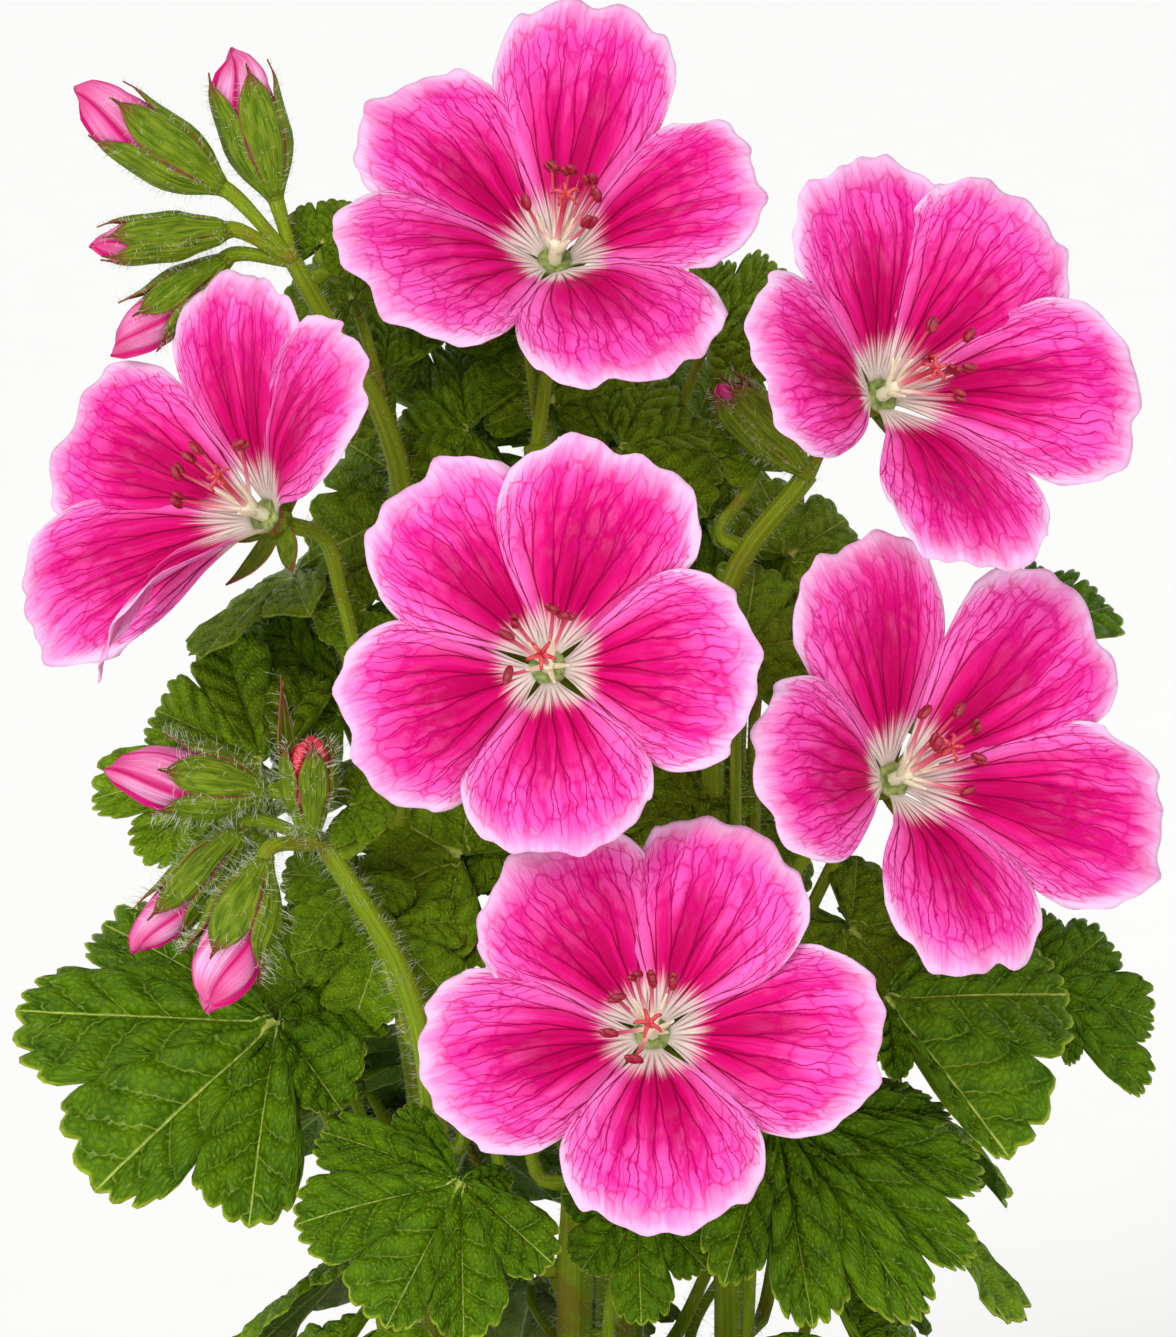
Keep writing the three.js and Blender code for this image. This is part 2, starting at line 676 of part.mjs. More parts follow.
function petalPoint(flower, petal, u, v) {
  const outward = flower.right.clone().multiplyScalar(Math.cos(petal.bearing))
    .addScaledVector(flower.above, Math.sin(petal.bearing));
  const side = flower.axis.clone().cross(outward);
  const bend = u * Math.PI / 2;
  const margin = petal.reach * (PETAL_SHOULDER + (1 - PETAL_SHOULDER) * Math.cos(bend));
  const along = lerp(CLAW_RADIUS, margin, v);
  const opening = Math.pow(Math.sin(v * Math.PI / 2), 1.4);
  const across = lerp(CLAW_WIDTH / 2 * u, petal.width / 2 * Math.sin(bend), opening);
  const s = (along - CLAW_RADIUS) / (petal.reach - CLAW_RADIUS);
  const funnel = petal.rise * Math.pow(Math.sin(Math.min(s, 1) * Math.PI / 2), 0.9);
  const cup = 0.2 * u * u * v;
  const height = funnel + cup + petal.layer * PETAL_LAYER * Math.min(1, 3.2 * v);
  return flower.throat.clone()
    .addScaledVector(outward, along)
    .addScaledVector(side, across)
    .addScaledVector(flower.axis, height);
}

function petalSolid(flower, petal) {
  const rows = PETAL_ROWS.map((v) => {
    const row = [];
    for (let c = 0; c <= PETAL_COLUMNS; c += 1) {
      row.push(petalPoint(flower, petal, -1 + 2 * c / PETAL_COLUMNS, v));
    }
    return row;
  });
  return sheet(rows, PETAL);
}

// The five petals, held together by a small ring at the throat
const RING_OUTER = 2.5;
const RING_INNER = 1.42;
const RING_LOW = -0.5;
const RING_HIGH = 0.75;

function placed(geometry, flower) {
  const frame = new THREE.Matrix4().makeBasis(flower.right, flower.above, flower.axis);
  geometry.applyMatrix4(frame.setPosition(flower.throat));
  return geometry;
}

function corolla(flower) {
  const profile = [
    [RING_INNER, RING_LOW], [RING_OUTER, RING_LOW],
    [RING_OUTER, RING_HIGH], [RING_INNER, RING_HIGH], [RING_INNER, RING_LOW],
  ];
  const ring = new THREE.LatheGeometry(profile.map(([r, z]) => new THREE.Vector2(r, z)), 8);
  ring.rotateX(Math.PI / 2);
  const petals = flower.petals.map((petal) => petalSolid(flower, petal));
  return fuse([solid(placed(ring, flower)), ...petals]);
}

// Stamens: a short column, the filaments that widen into their anthers, and the style with its star
function stamens(flower) {
  const at = (height) => flower.throat.clone().addScaledVector(flower.axis, height);
  const solids = [tube([at(RING_LOW + 0.1), at(4.5)], [0.95, 0.9], 6, 1)];
  for (const anther of flower.anthers) {
    const aside = anther.clone().sub(at(STAMEN_HEIGHT)).setLength(0.55);
    const root = at(3.9).add(aside);
    const way = anther.clone().sub(root).normalize();
    const neck = anther.clone().addScaledVector(way, -1.2);
    const end = anther.clone().addScaledVector(way, 1);
    solids.push(taper([root, neck, anther, end], [0.38, 0.38, 0.85, 0.4], 3));
  }
  const neck = flower.stigma.clone().addScaledVector(flower.axis, -0.9);
  solids.push(taper([at(4), neck, flower.stigma], [0.42, 0.42, 1], 3));
  return fuse(solids);
}

// The green parts of a flower: its stalk, the swollen end of it and five sepals under the petals
function flowerStalk(flower) {
  const at = (height) => flower.throat.clone().addScaledVector(flower.axis, height);
  const start = flower.start ?? STEMS[flower.stem].curve.getPointAt(flower.from);
  const way = flower.knee ? [start, seen(...flower.knee), at(-12), at(-4)] : [start, at(-12), at(-4)];
  const solids = [
    tube(way, [1.1, 0.95, 1, 1.25], 5, way.length + 1),
    taper([at(-4.4), at(-2.6), at(-1)], [1.2, 2.3, 1.9], 5),
  ];
  const bearings = [...flower.petals.map((petal) => petal.bearing + Math.PI / 5)].sort((a, b) => a - b);
  solids.push(calyx({ ...flower, start: flower.throat }, bearings, FLOWER_CALYX));
  return solids;
}

// Five sepals grown together at their feet: the shape gives distances from the axis and heights
// along it of the ring where they part, of their widest place and of their tips
function calyx(flower, bearings, shape) {
  const place = (bearing, [distance, height], aside = 0) => {
    const outward = flower.right.clone().multiplyScalar(Math.cos(bearing))
      .addScaledVector(flower.above, Math.sin(bearing));
    return flower.start.clone()
      .addScaledVector(outward, distance)
      .addScaledVector(flower.axis.clone().cross(outward), aside)
      .addScaledVector(flower.axis, height);
  };
  const count = bearings.length;
  const notch = (k) => {
    const next = bearings[(k + 1) % count] + (k + 1 < count ? 0 : 2 * Math.PI);
    const half = (next - bearings[k]) / 2;
    return place(bearings[k] + half, [shape.ring[0] / Math.cos(half), shape.ring[1]]);
  };
  const points = [place(0, [0, shape.hub])];
  const triangles = [];
  for (let k = 0; k < count; k += 1) {
    points.push(
      notch(k),
      place(bearings[k], shape.belly, -shape.width / 2),
      place(bearings[k], shape.belly, shape.width / 2),
      place(bearings[k], shape.tip),
    );
    const before = 1 + 4 * ((k + count - 1) % count);
    const after = 1 + 4 * k;
    const [left, right, tip] = [after + 1, after + 2, after + 3];
    triangles.push([0, before, after], [before, left, right], [before, right, after], [left, tip, right]);
  }
  return thicken(points, triangles, BLADE);
}

// Buds: base and tip in pixels with their places toward the viewer, width of the furled petals,
// how far along the bud the sepals reach, and how far their tips stand off
const BUDS = [
  {
    name: 'bud_high_left', stem: 'upper_left', from: 1,
    base: [216, 184], tip: [76, 94], toward: [0, 2], width: 8.6, sepals: 0.66, flare: 0.6,
  },
  {
    name: 'bud_high_right', stem: 'upper_left', from: 1,
    base: [272, 188], tip: [230, 52], toward: [-3, -3], width: 8.4, sepals: 0.8, flare: 1,
  },
  {
    name: 'bud_high_green', stem: 'upper_left', from: 1,
    base: [214, 232], tip: [93, 245], toward: [0, 3], width: 5.6, sepals: 0.86, flare: 0,
  },
  {
    name: 'bud_high_low', stem: 'upper_left', from: 1,
    base: [216, 268], tip: [112, 351], toward: [-3, -2], width: 6.8, sepals: 0.66, flare: 0.6,
  },
  {
    name: 'bud_mid_left', stem: 'left', from: 1,
    base: [259, 790], tip: [109, 770], toward: [5, 7], width: 8.6, sepals: 0.62, flare: 1,
  },
  {
    name: 'bud_mid_upright', stem: 'left', from: 1,
    base: [309, 816], tip: [307, 738], toward: [6, 8], width: 6.4, sepals: 0.9, flare: 0.8,
  },
  {
    name: 'bud_mid_low', stem: 'left', from: 1,
    base: [236, 836], tip: [136, 952], toward: [2, 4], width: 6.6, sepals: 0.72, flare: 0.4,
  },
  {
    name: 'bud_mid_front', stem: 'left', from: 1,
    base: [262, 868], tip: [208, 1008], toward: [10, 14], width: 9, sepals: 0.66, flare: 1,
  },
  {
    name: 'bud_upper_right', stem: 'right', from: 1,
    base: [792, 458], tip: [722, 384], toward: [-3, -1], width: 5.2, sepals: 0.92, flare: 0.2,
  },
];

const BUD_SIDES = 8;
const BUD_FLOOR = 0.13;
const BUD_RINGS = [0.16, 0.34, 0.56, 0.78, 0.93];
const BUD_TWIST = 1.5;

// The radius of the furled petals at a share of the bud's length
function budRadius(bud, share) {
  return bud.width / 2 * Math.pow(Math.sin(Math.PI * Math.pow(share, 0.72)), 0.85);
}

function seenBud(entry) {
  const base = seen(...entry.base, entry.toward[0]);
  const tip = seen(...entry.tip, entry.toward[1]);
  const axis = tip.clone().sub(base);
  const length = axis.length();
  axis.normalize();
  const [right, above] = squareTo(axis, TO_VIEWER);
  return { ...entry, start: base, axis, length, right, above };
}

// Furled petals: an egg with spiral ridges, pointed at the tip
function budPetals(bud) {
  const positions = [];
  const place = (share, radius, angle) => bud.start.clone()
    .addScaledVector(bud.axis, share * bud.length)
    .addScaledVector(bud.right, Math.cos(angle) * radius)
    .addScaledVector(bud.above, Math.sin(angle) * radius);
  const push = (point) => positions.push(point.x, point.y, point.z);
  for (const share of BUD_RINGS) {
    for (let k = 0; k < BUD_SIDES; k += 1) {
      const angle = k / BUD_SIDES * 2 * Math.PI + BUD_TWIST * share;
      push(place(share, budRadius(bud, share) * (k % 2 ? 0.92 : 1), angle));
    }
  }
  push(place(BUD_FLOOR, 0, 0));
  push(place(1, 0, 0));
  const bottom = BUD_RINGS.length * BUD_SIDES;
  const top = bottom + 1;
  const faces = [];
  for (let k = 0; k < BUD_SIDES; k += 1) {
    const next = (k + 1) % BUD_SIDES;
    faces.push(bottom, next, k);
    for (let r = 0; r + 1 < BUD_RINGS.length; r += 1) {
      const a = r * BUD_SIDES;
      faces.push(a + k, a + next, a + BUD_SIDES + next, a + k, a + BUD_SIDES + next, a + BUD_SIDES + k);
    }
    const rim = (BUD_RINGS.length - 1) * BUD_SIDES;
    faces.push(rim + k, rim + next, top);
  }
  return solidOf(positions, faces);
}

// The bud's stalk, its round base and five sepals that clasp the petals
function budStalk(bud) {
  const start = STEMS[bud.stem].curve.getPointAt(bud.from);
  const behind = bud.start.clone().addScaledVector(bud.axis, -3);
  const seatHeight = BUD_FLOOR * bud.length - 2.2;
  const at = (height) => bud.start.clone().addScaledVector(bud.axis, seatHeight + height);
  const seat = at(0);
  const solids = [
    tube([start, behind, seat], [0.95, 1, 1.3], 4, 3),
    taper([at(-1.8), at(0), at(1.4)], [1.1, Math.max(1.8, bud.width * 0.26), 1.6], 5),
  ];
  const skin = GAP + BLADE / 2;
  const beside = (share, further) => [budRadius(bud, share) + skin + further, share * bud.length];
  const bearings = [0, 1, 2, 3, 4].map((k) => k / 5 * 2 * Math.PI + 0.3);
  const shape = {
    hub: seatHeight + 0.6,
    ring: beside(BUD_RINGS[0] - 0.03, 0.7),
    belly: beside(lerp(BUD_RINGS[0], bud.sepals, 0.45), 0.5 + 0.2 * bud.flare),
    tip: beside(bud.sepals, 0.5 + bud.flare),
    width: bud.width * 0.42,
  };
  solids.push(calyx(bud, bearings, shape));
  return solids;
}

// Pot and soil

function pot() {
  const slope = (POT_RIM_RADIUS - RIM_BAND_STEP - POT_BASE_RADIUS) / (POT_HEIGHT - RIM_BAND_HEIGHT);
  const bandLow = POT_HEIGHT - RIM_BAND_HEIGHT;
  const innerFloor = POT_BASE_RADIUS - POT_WALL + slope * POT_FLOOR;
  const profile = [
    [0, 0], [POT_BASE_RADIUS - 1.2, 0], [POT_BASE_RADIUS, 1.4],
    [POT_RIM_RADIUS - RIM_BAND_STEP, bandLow], [POT_RIM_RADIUS - 1, bandLow],
    [POT_RIM_RADIUS, POT_HEIGHT - 1.5], [POT_RIM_RADIUS - 1.5, POT_HEIGHT],
    [POT_RIM_RADIUS - RIM_BAND_STEP - POT_WALL + 0.8, POT_HEIGHT],
    [innerFloor, POT_FLOOR], [0, POT_FLOOR],
  ];
  const shell = new THREE.LatheGeometry(profile.map(([r, z]) => new THREE.Vector2(r, z)), POT_SIDES);
  shell.rotateX(Math.PI / 2);
  let body = solid(shell);
  for (let k = 0; k < DRAIN_COUNT; k += 1) {
    const a = (k + 0.5) / DRAIN_COUNT * 2 * Math.PI;
    const [x, y] = [Math.cos(a) * DRAIN_CIRCLE, Math.sin(a) * DRAIN_CIRCLE];
    body = body.subtract(post(x, y, DRAIN_RADIUS, -1, POT_FLOOR + 1, 10));
  }
  return body;
}

// An upright post
function post(x, y, radius, low, high, sides) {
  const geometry = new THREE.CylinderGeometry(radius, radius, high - low, sides);
  geometry.rotateX(Math.PI / 2);
  geometry.translate(x, y, (low + high) / 2);
  return solid(geometry);
}

// The inner wall of the pot at a height
function potInside(z) {
  const top = POT_RIM_RADIUS - RIM_BAND_STEP - POT_WALL + 0.8;
  const slope = (POT_RIM_RADIUS - RIM_BAND_STEP - POT_BASE_RADIUS) / (POT_HEIGHT - RIM_BAND_HEIGHT);
  const low = POT_BASE_RADIUS - POT_WALL + slope * POT_FLOOR;
  return lerp(low, top, (z - POT_FLOOR) / (POT_HEIGHT - POT_FLOOR)) * Math.cos(Math.PI / POT_SIDES);
}

const SOIL_RINGS = [0.3, 0.58, 0.82];

function soil() {
  const low = POT_FLOOR + GAP;
  const edge = potInside(SOIL_TOP) - GAP - 0.2;
  const profile = [[0, low], [potInside(low) - GAP - 0.2, low], [edge, SOIL_TOP - 1.2]];
  for (const share of [...SOIL_RINGS].reverse()) profile.push([edge * share, SOIL_TOP]);
  profile.push([0, SOIL_TOP + 0.6]);
  const geometry = new THREE.LatheGeometry(profile.map(([r, z]) => new THREE.Vector2(r, z)), 18);
  geometry.rotateX(Math.PI / 2);
  const position = geometry.attributes.position;
  for (let i = 0; i < position.count; i += 1) {
    const [x, y, z] = [position.getX(i), position.getY(i), position.getZ(i)];
    const radius = Math.hypot(x, y);
    if (z > SOIL_TOP - 0.5 && radius > 1 && radius < edge - 1) {
      position.setZ(i, z + 2 * (draw(Math.round(x * 3) + Math.round(y * 3) * 0.37) - 0.5));
    }
  }
  let body = solid(geometry);
  for (const stem of Object.values(STEMS)) {
    const [x, y] = stem.foot;
    const radius = (stem.radii[0] + GAP) / Math.cos(Math.PI / 8) + 0.2;
    body = body.subtract(post(x, y, radius, SOIL_TOP - ROOT_DEPTH - GAP, SOIL_TOP + 5, 8));
  }
  return body;
}

// The whole plant in its pot

const FINISHES = {
  clay: { color: 0xb8643f, roughness: 0.85, metalness: 0 },
  soil: { color: 0x3b2a1e, roughness: 1, metalness: 0 },
  leaf: { color: 0x3f6d14, roughness: 0.55, metalness: 0 },
  stem: { color: 0x6f8a2a, roughness: 0.6, metalness: 0 },
  petal: { color: 0xe0188a, roughness: 0.5, metalness: 0 },
  bud: { color: 0xe45aa6, roughness: 0.5, metalness: 0 },
  stamen: { color: 0xb02045, roughness: 0.45, metalness: 0 },
};

const plant = new THREE.Group();

function add(name, body, finish) {
  const mesh = new THREE.Mesh(geometryOf(body), new THREE.MeshStandardMaterial(FINISHES[finish]));
  mesh.name = name;
  plant.add(mesh);
}

const flowers = [
  ...FLOWERS.map(seenFlower),
  ...BACK_FLOWERS.map((entry, i) => flowerByRule(entry, 11 + i)),
];
const buds = BUDS.map(seenBud);

add('pot', pot(), 'clay');
add('soil', soil(), 'soil');

for (const [name, stem] of Object.entries(STEMS)) {
  const solids = [tube(stem.points, stem.radii, 6, 2 * stem.points.length - 2)];
  flowers.filter((flower) => flower.stem === name).forEach((flower) => solids.push(...flowerStalk(flower)));
  buds.filter((bud) => bud.stem === name).forEach((bud) => solids.push(...budStalk(bud)));
  LEAFY.forEach((entry, i) => {
    if (entry[0] === name) solids.push(leafSolid(leafByRule(entry, 20 + i), PLAIN_BLADE, true));
  });
  GLIMPSED.forEach((entry, i) => {
    if (entry[0] === name) solids.push(leafSolid(glimpsedLeaf(entry, 60 + i), PLAIN_BLADE, true));
  });
  add(`shoot_${name}`, fuse(solids), 'stem');
}

for (const entry of SEEN_LEAVES) {
  add(entry.name, leafSolid(seenLeaf(entry), entry.plain ? PLAIN_BLADE : FINE_BLADE, false), 'leaf');
}

for (const flower of flowers) {
  add(`petals_${flower.name}`, corolla(flower), 'petal');
  add(`stamens_${flower.name}`, stamens(flower), 'stamen');
}

for (const bud of buds) add(bud.name, budPetals(bud), 'bud');

export default plant;
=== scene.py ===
# A potted geranium in bloom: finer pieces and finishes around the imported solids.
# Lengths in the tables are millimetres, and pixels are those of the 1176 by 1337 picture.
import math
import bpy
import numpy as np
from mathutils import Matrix, Vector, geometry, noise


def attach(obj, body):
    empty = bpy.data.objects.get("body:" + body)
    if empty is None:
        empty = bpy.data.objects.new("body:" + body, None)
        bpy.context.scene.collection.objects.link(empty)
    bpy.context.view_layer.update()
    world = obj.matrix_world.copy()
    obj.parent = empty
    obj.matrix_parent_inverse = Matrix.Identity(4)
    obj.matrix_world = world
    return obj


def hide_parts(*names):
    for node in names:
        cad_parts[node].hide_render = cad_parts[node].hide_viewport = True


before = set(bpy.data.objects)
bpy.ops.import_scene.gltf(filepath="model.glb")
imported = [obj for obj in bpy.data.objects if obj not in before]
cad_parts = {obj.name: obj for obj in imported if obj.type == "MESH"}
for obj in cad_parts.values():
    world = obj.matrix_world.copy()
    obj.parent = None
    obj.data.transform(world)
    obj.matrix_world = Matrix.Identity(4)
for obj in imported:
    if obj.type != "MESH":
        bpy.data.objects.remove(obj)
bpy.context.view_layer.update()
MM = 0.001
RNG = np.random.default_rng(47)

# How the front of the plant is seen, as in the part's source
VIEW_TILT = math.radians(15)
VIEW_DISTANCE = 900.0
PIXEL = 0.14
PICTURE = (1176, 1337)
PICTURE_CENTRE = (588.0, 668.5)
TARGET = np.array([0.0, -5.0, 228.0])
ACROSS = np.array([1.0, 0.0, 0.0])
UPWARD = np.array([0.0, math.sin(VIEW_TILT), math.cos(VIEW_TILT)])
TO_VIEWER = np.array([0.0, -math.cos(VIEW_TILT), math.sin(VIEW_TILT)])
UP = np.array([0.0, 0.0, 1.0])
FULL_TURN = 2 * math.pi


def seen(px, py, toward):
    nearer = 1 - toward / VIEW_DISTANCE
    return (TARGET + ACROSS * (px - PICTURE_CENTRE[0]) * PIXEL * nearer
            + UPWARD * (PICTURE_CENTRE[1] - py) * PIXEL * nearer + TO_VIEWER * toward)


def sight_on_plane(px, py, place, normal, height):
    start = seen(px, py, 0)
    way = seen(px, py, 1) - start
    return start + way * (height - (start - place) @ normal) / (way @ normal)


def facing(turn, tilt):
    a, b = math.radians(turn), math.radians(tilt)
    return (ACROSS * math.sin(a) * math.cos(b) + UPWARD * math.sin(b)
            + TO_VIEWER * math.cos(a) * math.cos(b))


def draw(seed):
    value = math.sin(seed * 12.9898 + 4.1414) * 43758.5453
    return value - math.floor(value)


def lerp(a, b, t):
    return a + (b - a) * t


def smooth(low, high, x):
    t = np.clip((np.asarray(x, float) - low) / (high - low), 0, 1)
    return t * t * (3 - 2 * t)


def unit(v):
    v = np.asarray(v, float)
    return v / np.maximum(np.linalg.norm(v, axis=-1, keepdims=True), 1e-9)


def square_to(axis, hint):
    """Two directions square to an axis, the first as near to the hint as can be."""
    side = unit(hint - axis * (hint @ axis))
    return side, np.cross(axis, side)


def round_angles(sides):
    return np.arange(sides) / sides * FULL_TURN


def spoke(one, other, angle):
    """The direction at an angle, or at each of many, between two directions that are square to each other."""
    angle = np.asarray(angle)[..., None]
    return one * np.cos(angle) + other * np.sin(angle)


# Meshes

MAP_NAME = "Growth"


class Patchwork:
    """Closed surfaces collected into one mesh, each with a map and a finish for every face."""

    def __init__(self):
        self.points, self.corners, self.sizes, self.maps, self.finish = [], [], [], [], []
        self.count = 0

    def add(self, points, faces, uv, finish=0):
        """faces is a list of index arrays, uv one map place for each point."""
        points = np.asarray(points, float).reshape(-1, 3)
        uv = np.asarray(uv, float).reshape(-1, 2)
        self.points.append(points)
        for block in faces:
            self.corners.append((block + self.count).ravel())
            self.sizes.append(np.full(len(block), block.shape[1]))
            self.maps.append(uv[block.ravel()])
            self.finish.append(np.full(len(block), finish))
        self.count += len(points)

    def make(self, name, finishes, slot, node):
        points = np.concatenate(self.points) * MM
        corners = np.concatenate(self.corners)
        sizes = np.concatenate(self.sizes)
        mesh = bpy.data.meshes.new(name)
        mesh.vertices.add(len(points))
        mesh.vertices.foreach_set("co", points.ravel())
        mesh.loops.add(len(corners))
        mesh.loops.foreach_set("vertex_index", corners)
        mesh.polygons.add(len(sizes))
        mesh.polygons.foreach_set("loop_start", np.concatenate([[0], np.cumsum(sizes)[:-1]]))
        mesh.polygons.foreach_set("loop_total", sizes)
        for finish in finishes:
            mesh.materials.append(finish)
        mesh.polygons.foreach_set("material_index", np.concatenate(self.finish))
        mesh.polygons.foreach_set("use_smooth", np.ones(len(sizes), bool))
        layer = mesh.uv_layers.new(name=MAP_NAME, do_init=False)
        layer.uv.foreach_set("vector", np.concatenate(self.maps).ravel())
        mesh.update(calc_edges=True)
        mesh.validate()
        piece = bpy.data.objects.new(name + "_dressed" if name == node else name, mesh)
        bpy.context.scene.collection.objects.link(piece)
        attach(piece, "root")
        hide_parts(node)


def grid_faces(rows, columns, closed=False):
    """Four-sided faces over a grid of points, joined round where it is closed."""
    r, c = np.meshgrid(np.arange(rows - 1), np.arange(columns if closed else columns - 1), indexing="ij")
    low = r.ravel() * columns
    high, c = low + columns, c.ravel()
    after = (c + 1) % columns
    return np.stack([low + c, low + after, high + after, high + c], 1)


def capped_faces(rings, sides):
    """Faces over rings of points, closed with a fan to each of the two end points that follow them."""
    low, last, end = np.arange(sides), (rings - 1) * sides, np.full(sides, rings * sides)
    return [grid_faces(rings, sides, True), np.stack([np.roll(low, -1), low, end], 1),
            np.stack([last + low, last + np.roll(low, -1), end + 1], 1)]


def point_normals(points, faces):
    normals = np.zeros_like(points)
    for block in faces:
        a, b, c = points[block[:, 0]], points[block[:, 1]], points[block[:, 2]]
        turned = np.cross(b - a, c - a)
        if block.shape[1] == 4:
            turned = turned + np.cross(c - a, points[block[:, 3]] - a)
        for k in range(block.shape[1]):
            np.add.at(normals, block[:, k], turned)
    return unit(normals)


def thin(work, points, faces, uv, thickness, face=0, back=1):
    """A thin closed sheet: the surface's own side, its back and the rim between them."""
    normals = point_normals(points, faces)
    half = np.asarray(thickness, float).reshape(-1, 1) / 2
    count = len(points)
    both = np.concatenate([points + normals * half, points - normals * half])
    edges = {}
    for block in faces:
        for k in range(block.shape[1]):
            for a, b in zip(block[:, k].tolist(), block[:, (k + 1) % block.shape[1]].tolist()):
                if not edges.pop((b, a), False):
                    edges[(a, b)] = True
    rim = np.array([(b, a, a + count, b + count) for a, b in edges], int)
    maps = np.concatenate([uv, uv])
    start = work.count
    work.add(both, faces, maps, face)
    work.count = start
    work.points.pop()
    work.add(both, [block[:, ::-1] + count for block in faces] + [rim], maps, back)


def sheet(work, points, uv, thickness, face=0, back=1):
    """A thin sheet over a grid of points, rows first."""
    rows, columns = points.shape[:2]
    flat_points, flat_map = points.reshape(-1, 3), uv.reshape(-1, 2)
    thin(work, flat_points, [grid_faces(rows, columns)], flat_map, thickness.ravel(), face, back)


def spread_evenly(values, at):
    """Values that stand evenly from 0 to 1, read between them."""
    return np.interp(at, np.linspace(0, 1, len(values)), values)


def run_length(points):
    """How far each point of a line lies from its start, along the line."""
    return np.concatenate([[0], np.cumsum(np.linalg.norm(np.diff(points, axis=0), axis=1))])


def curve_through(points, steps):
    """Points evenly spaced along a smooth curve: centripetal, as in the part's source."""
    p = np.asarray(points, float)
    p = np.concatenate([[2 * p[0] - p[1]], p, [2 * p[-1] - p[-2]]])
    found = []
    for i in range(1, len(p) - 2):
        p0, p1, p2, p3 = p[i - 1:i + 3]
        d0, d1, d2 = (max(np.linalg.norm(b - a) ** 0.5, 1e-4) for a, b in ((p0, p1), (p1, p2), (p2, p3)))
        t1 = ((p1 - p0) / d0 - (p2 - p0) / (d0 + d1) + (p2 - p1) / d1) * d1
        t2 = ((p2 - p1) / d1 - (p3 - p1) / (d1 + d2) + (p3 - p2) / d2) * d1
        t = np.linspace(0, 1, 48, endpoint=i == len(p) - 3)[:, None]
        square, cube = 3 * (p2 - p1) - 2 * t1 - t2, 2 * (p1 - p2) + t1 + t2
        found.append(p1 + t1 * t + square * t ** 2 + cube * t ** 3)
    found = np.concatenate(found)
    length = run_length(found)
    at = np.linspace(0, length[-1], steps + 1)
    return np.stack([np.interp(at, length, found[:, k]) for k in range(3)], 1)


def frames_along(points):
    """The direction at each point and two directions across it that don't spin."""
    ways = unit(np.gradient(points, axis=0))
    side = square_to(ways[0], np.array([0.3, 0.9, 0.2]))[0]
    sides = [side]
    for way in ways[1:]:
        side = unit(side - way * (side @ way))
        sides.append(side)
    sides = np.array(sides)
    return ways, sides, np.cross(ways, sides)


def tube(work, points, radii, sides=12, finish=0, ridge=0.0, ridges=5, seed=0.0, start_map=0.0):
    """A closed tube, its radii spread evenly along it; its map runs round it and, from 0 to 1, along it."""
    points = np.asarray(points, float)
    ways, one, other = frames_along(points)
    n = len(points)
    radius = spread_evenly(radii, np.linspace(0, 1, n))
    angle = round_angles(sides)
    swell = 1 + ridge * np.cos(ridges * angle + seed)
    reach = radius[:, None] * swell
    body = points[:, None] + spoke(one[:, None], other[:, None], angle) * reach[:, :, None]
    length = run_length(points)
    around = np.broadcast_to(np.abs(np.arange(sides) / sides * 2 - 1), (n, sides)) + seed * 2
    along = np.broadcast_to((start_map + length / length[-1])[:, None], (n, sides))
    ends = [points[0] - ways[0] * radius[0] * 0.3, points[-1] + ways[-1] * radius[-1] * 0.5]
    maps = np.stack([around, along], 2).reshape(-1, 2)
    work.add(np.concatenate([body.reshape(-1, 3), ends]), capped_faces(n, sides),
             np.concatenate([maps, maps[[0, (n - 1) * sides]]]), finish)
    return points, ways, radius


def round_body(work, centre, axis, hint, widths, heights, ends, finish, map_at=(0.5, 0.5)):
    """Rings round an axis, each with its height and a width for each side, between two end heights."""
    rings, sides = widths.shape
    ring = spoke(*square_to(axis, hint), round_angles(sides))
    body = centre - axis * heights[:, None, None] + ring * widths[:, :, None]
    places = np.concatenate([body.reshape(-1, 3), [centre - axis * end for end in ends]])
    work.add(places, capped_faces(rings, sides), np.tile(map_at, (len(places), 1)), finish)


def ring_shares(rings):
    """Angles from one pole to the other for the rings of a round body, without the poles."""
    return np.linspace(0, math.pi, rings + 2)[1:-1]


def long_body(work, centre, axis, across, length, finish, groove, sides=10, rings=7):
    """A long rounded body with a groove along it."""
    share = ring_shares(rings)
    width = across * (1 - groove * np.cos(round_angles(sides)) ** 8)
    round_body(work, centre, axis, np.array([0.2, 0.5, 0.9]), np.sin(share)[:, None] * width,
               np.cos(share) * length, (length, -length), finish)


HAIR_ROOT = 0.12


def hair_coat(work, roots, ways, lengths, thickness, bend, bent):
    """Fine tapering hairs: three-sided slivers, straight or bent, that start inside what they grow from."""
    ways = unit(ways)
    count = len(roots)
    lengths = lengths[:, None]
    hint = RNG.normal(size=(count, 3))
    one = unit(hint - ways * (hint * ways).sum(1, keepdims=True))
    other = np.cross(ways, one)
    lean = RNG.normal(size=(count, 3)) * bend
    tip = roots + unit(ways + lean) * lengths
    stations = [(roots - ways * HAIR_ROOT, 1.0)]
    if bent:
        stations.append((roots + (ways + lean * 0.3) * lengths * 0.5, 0.75))
    corners = [place + spoke(one, other, k / 3 * FULL_TURN) * thickness * wide
               for place, wide in stations for k in range(3)]
    places = np.stack(corners + [tip], 1)
    size = len(corners) + 1
    top = size - 4
    base = np.arange(count)[:, None] * size
    sides = [base + [top + k, top + (k + 1) % 3, top + 3] for k in range(3)]
    faces = [np.concatenate(sides + [base + [2, 1, 0]])]
    if bent:
        faces.append(np.concatenate([base + [k, (k + 1) % 3, 3 + (k + 1) % 3, 3 + k] for k in range(3)]))
    along = np.repeat(np.linspace(0, 1, len(stations) + 1)[:-1], 3).tolist() + [1.0]
    work.add(places.reshape(-1, 3), faces, np.tile(np.stack([np.full(size, 0.5), along], 1), (count, 1)))


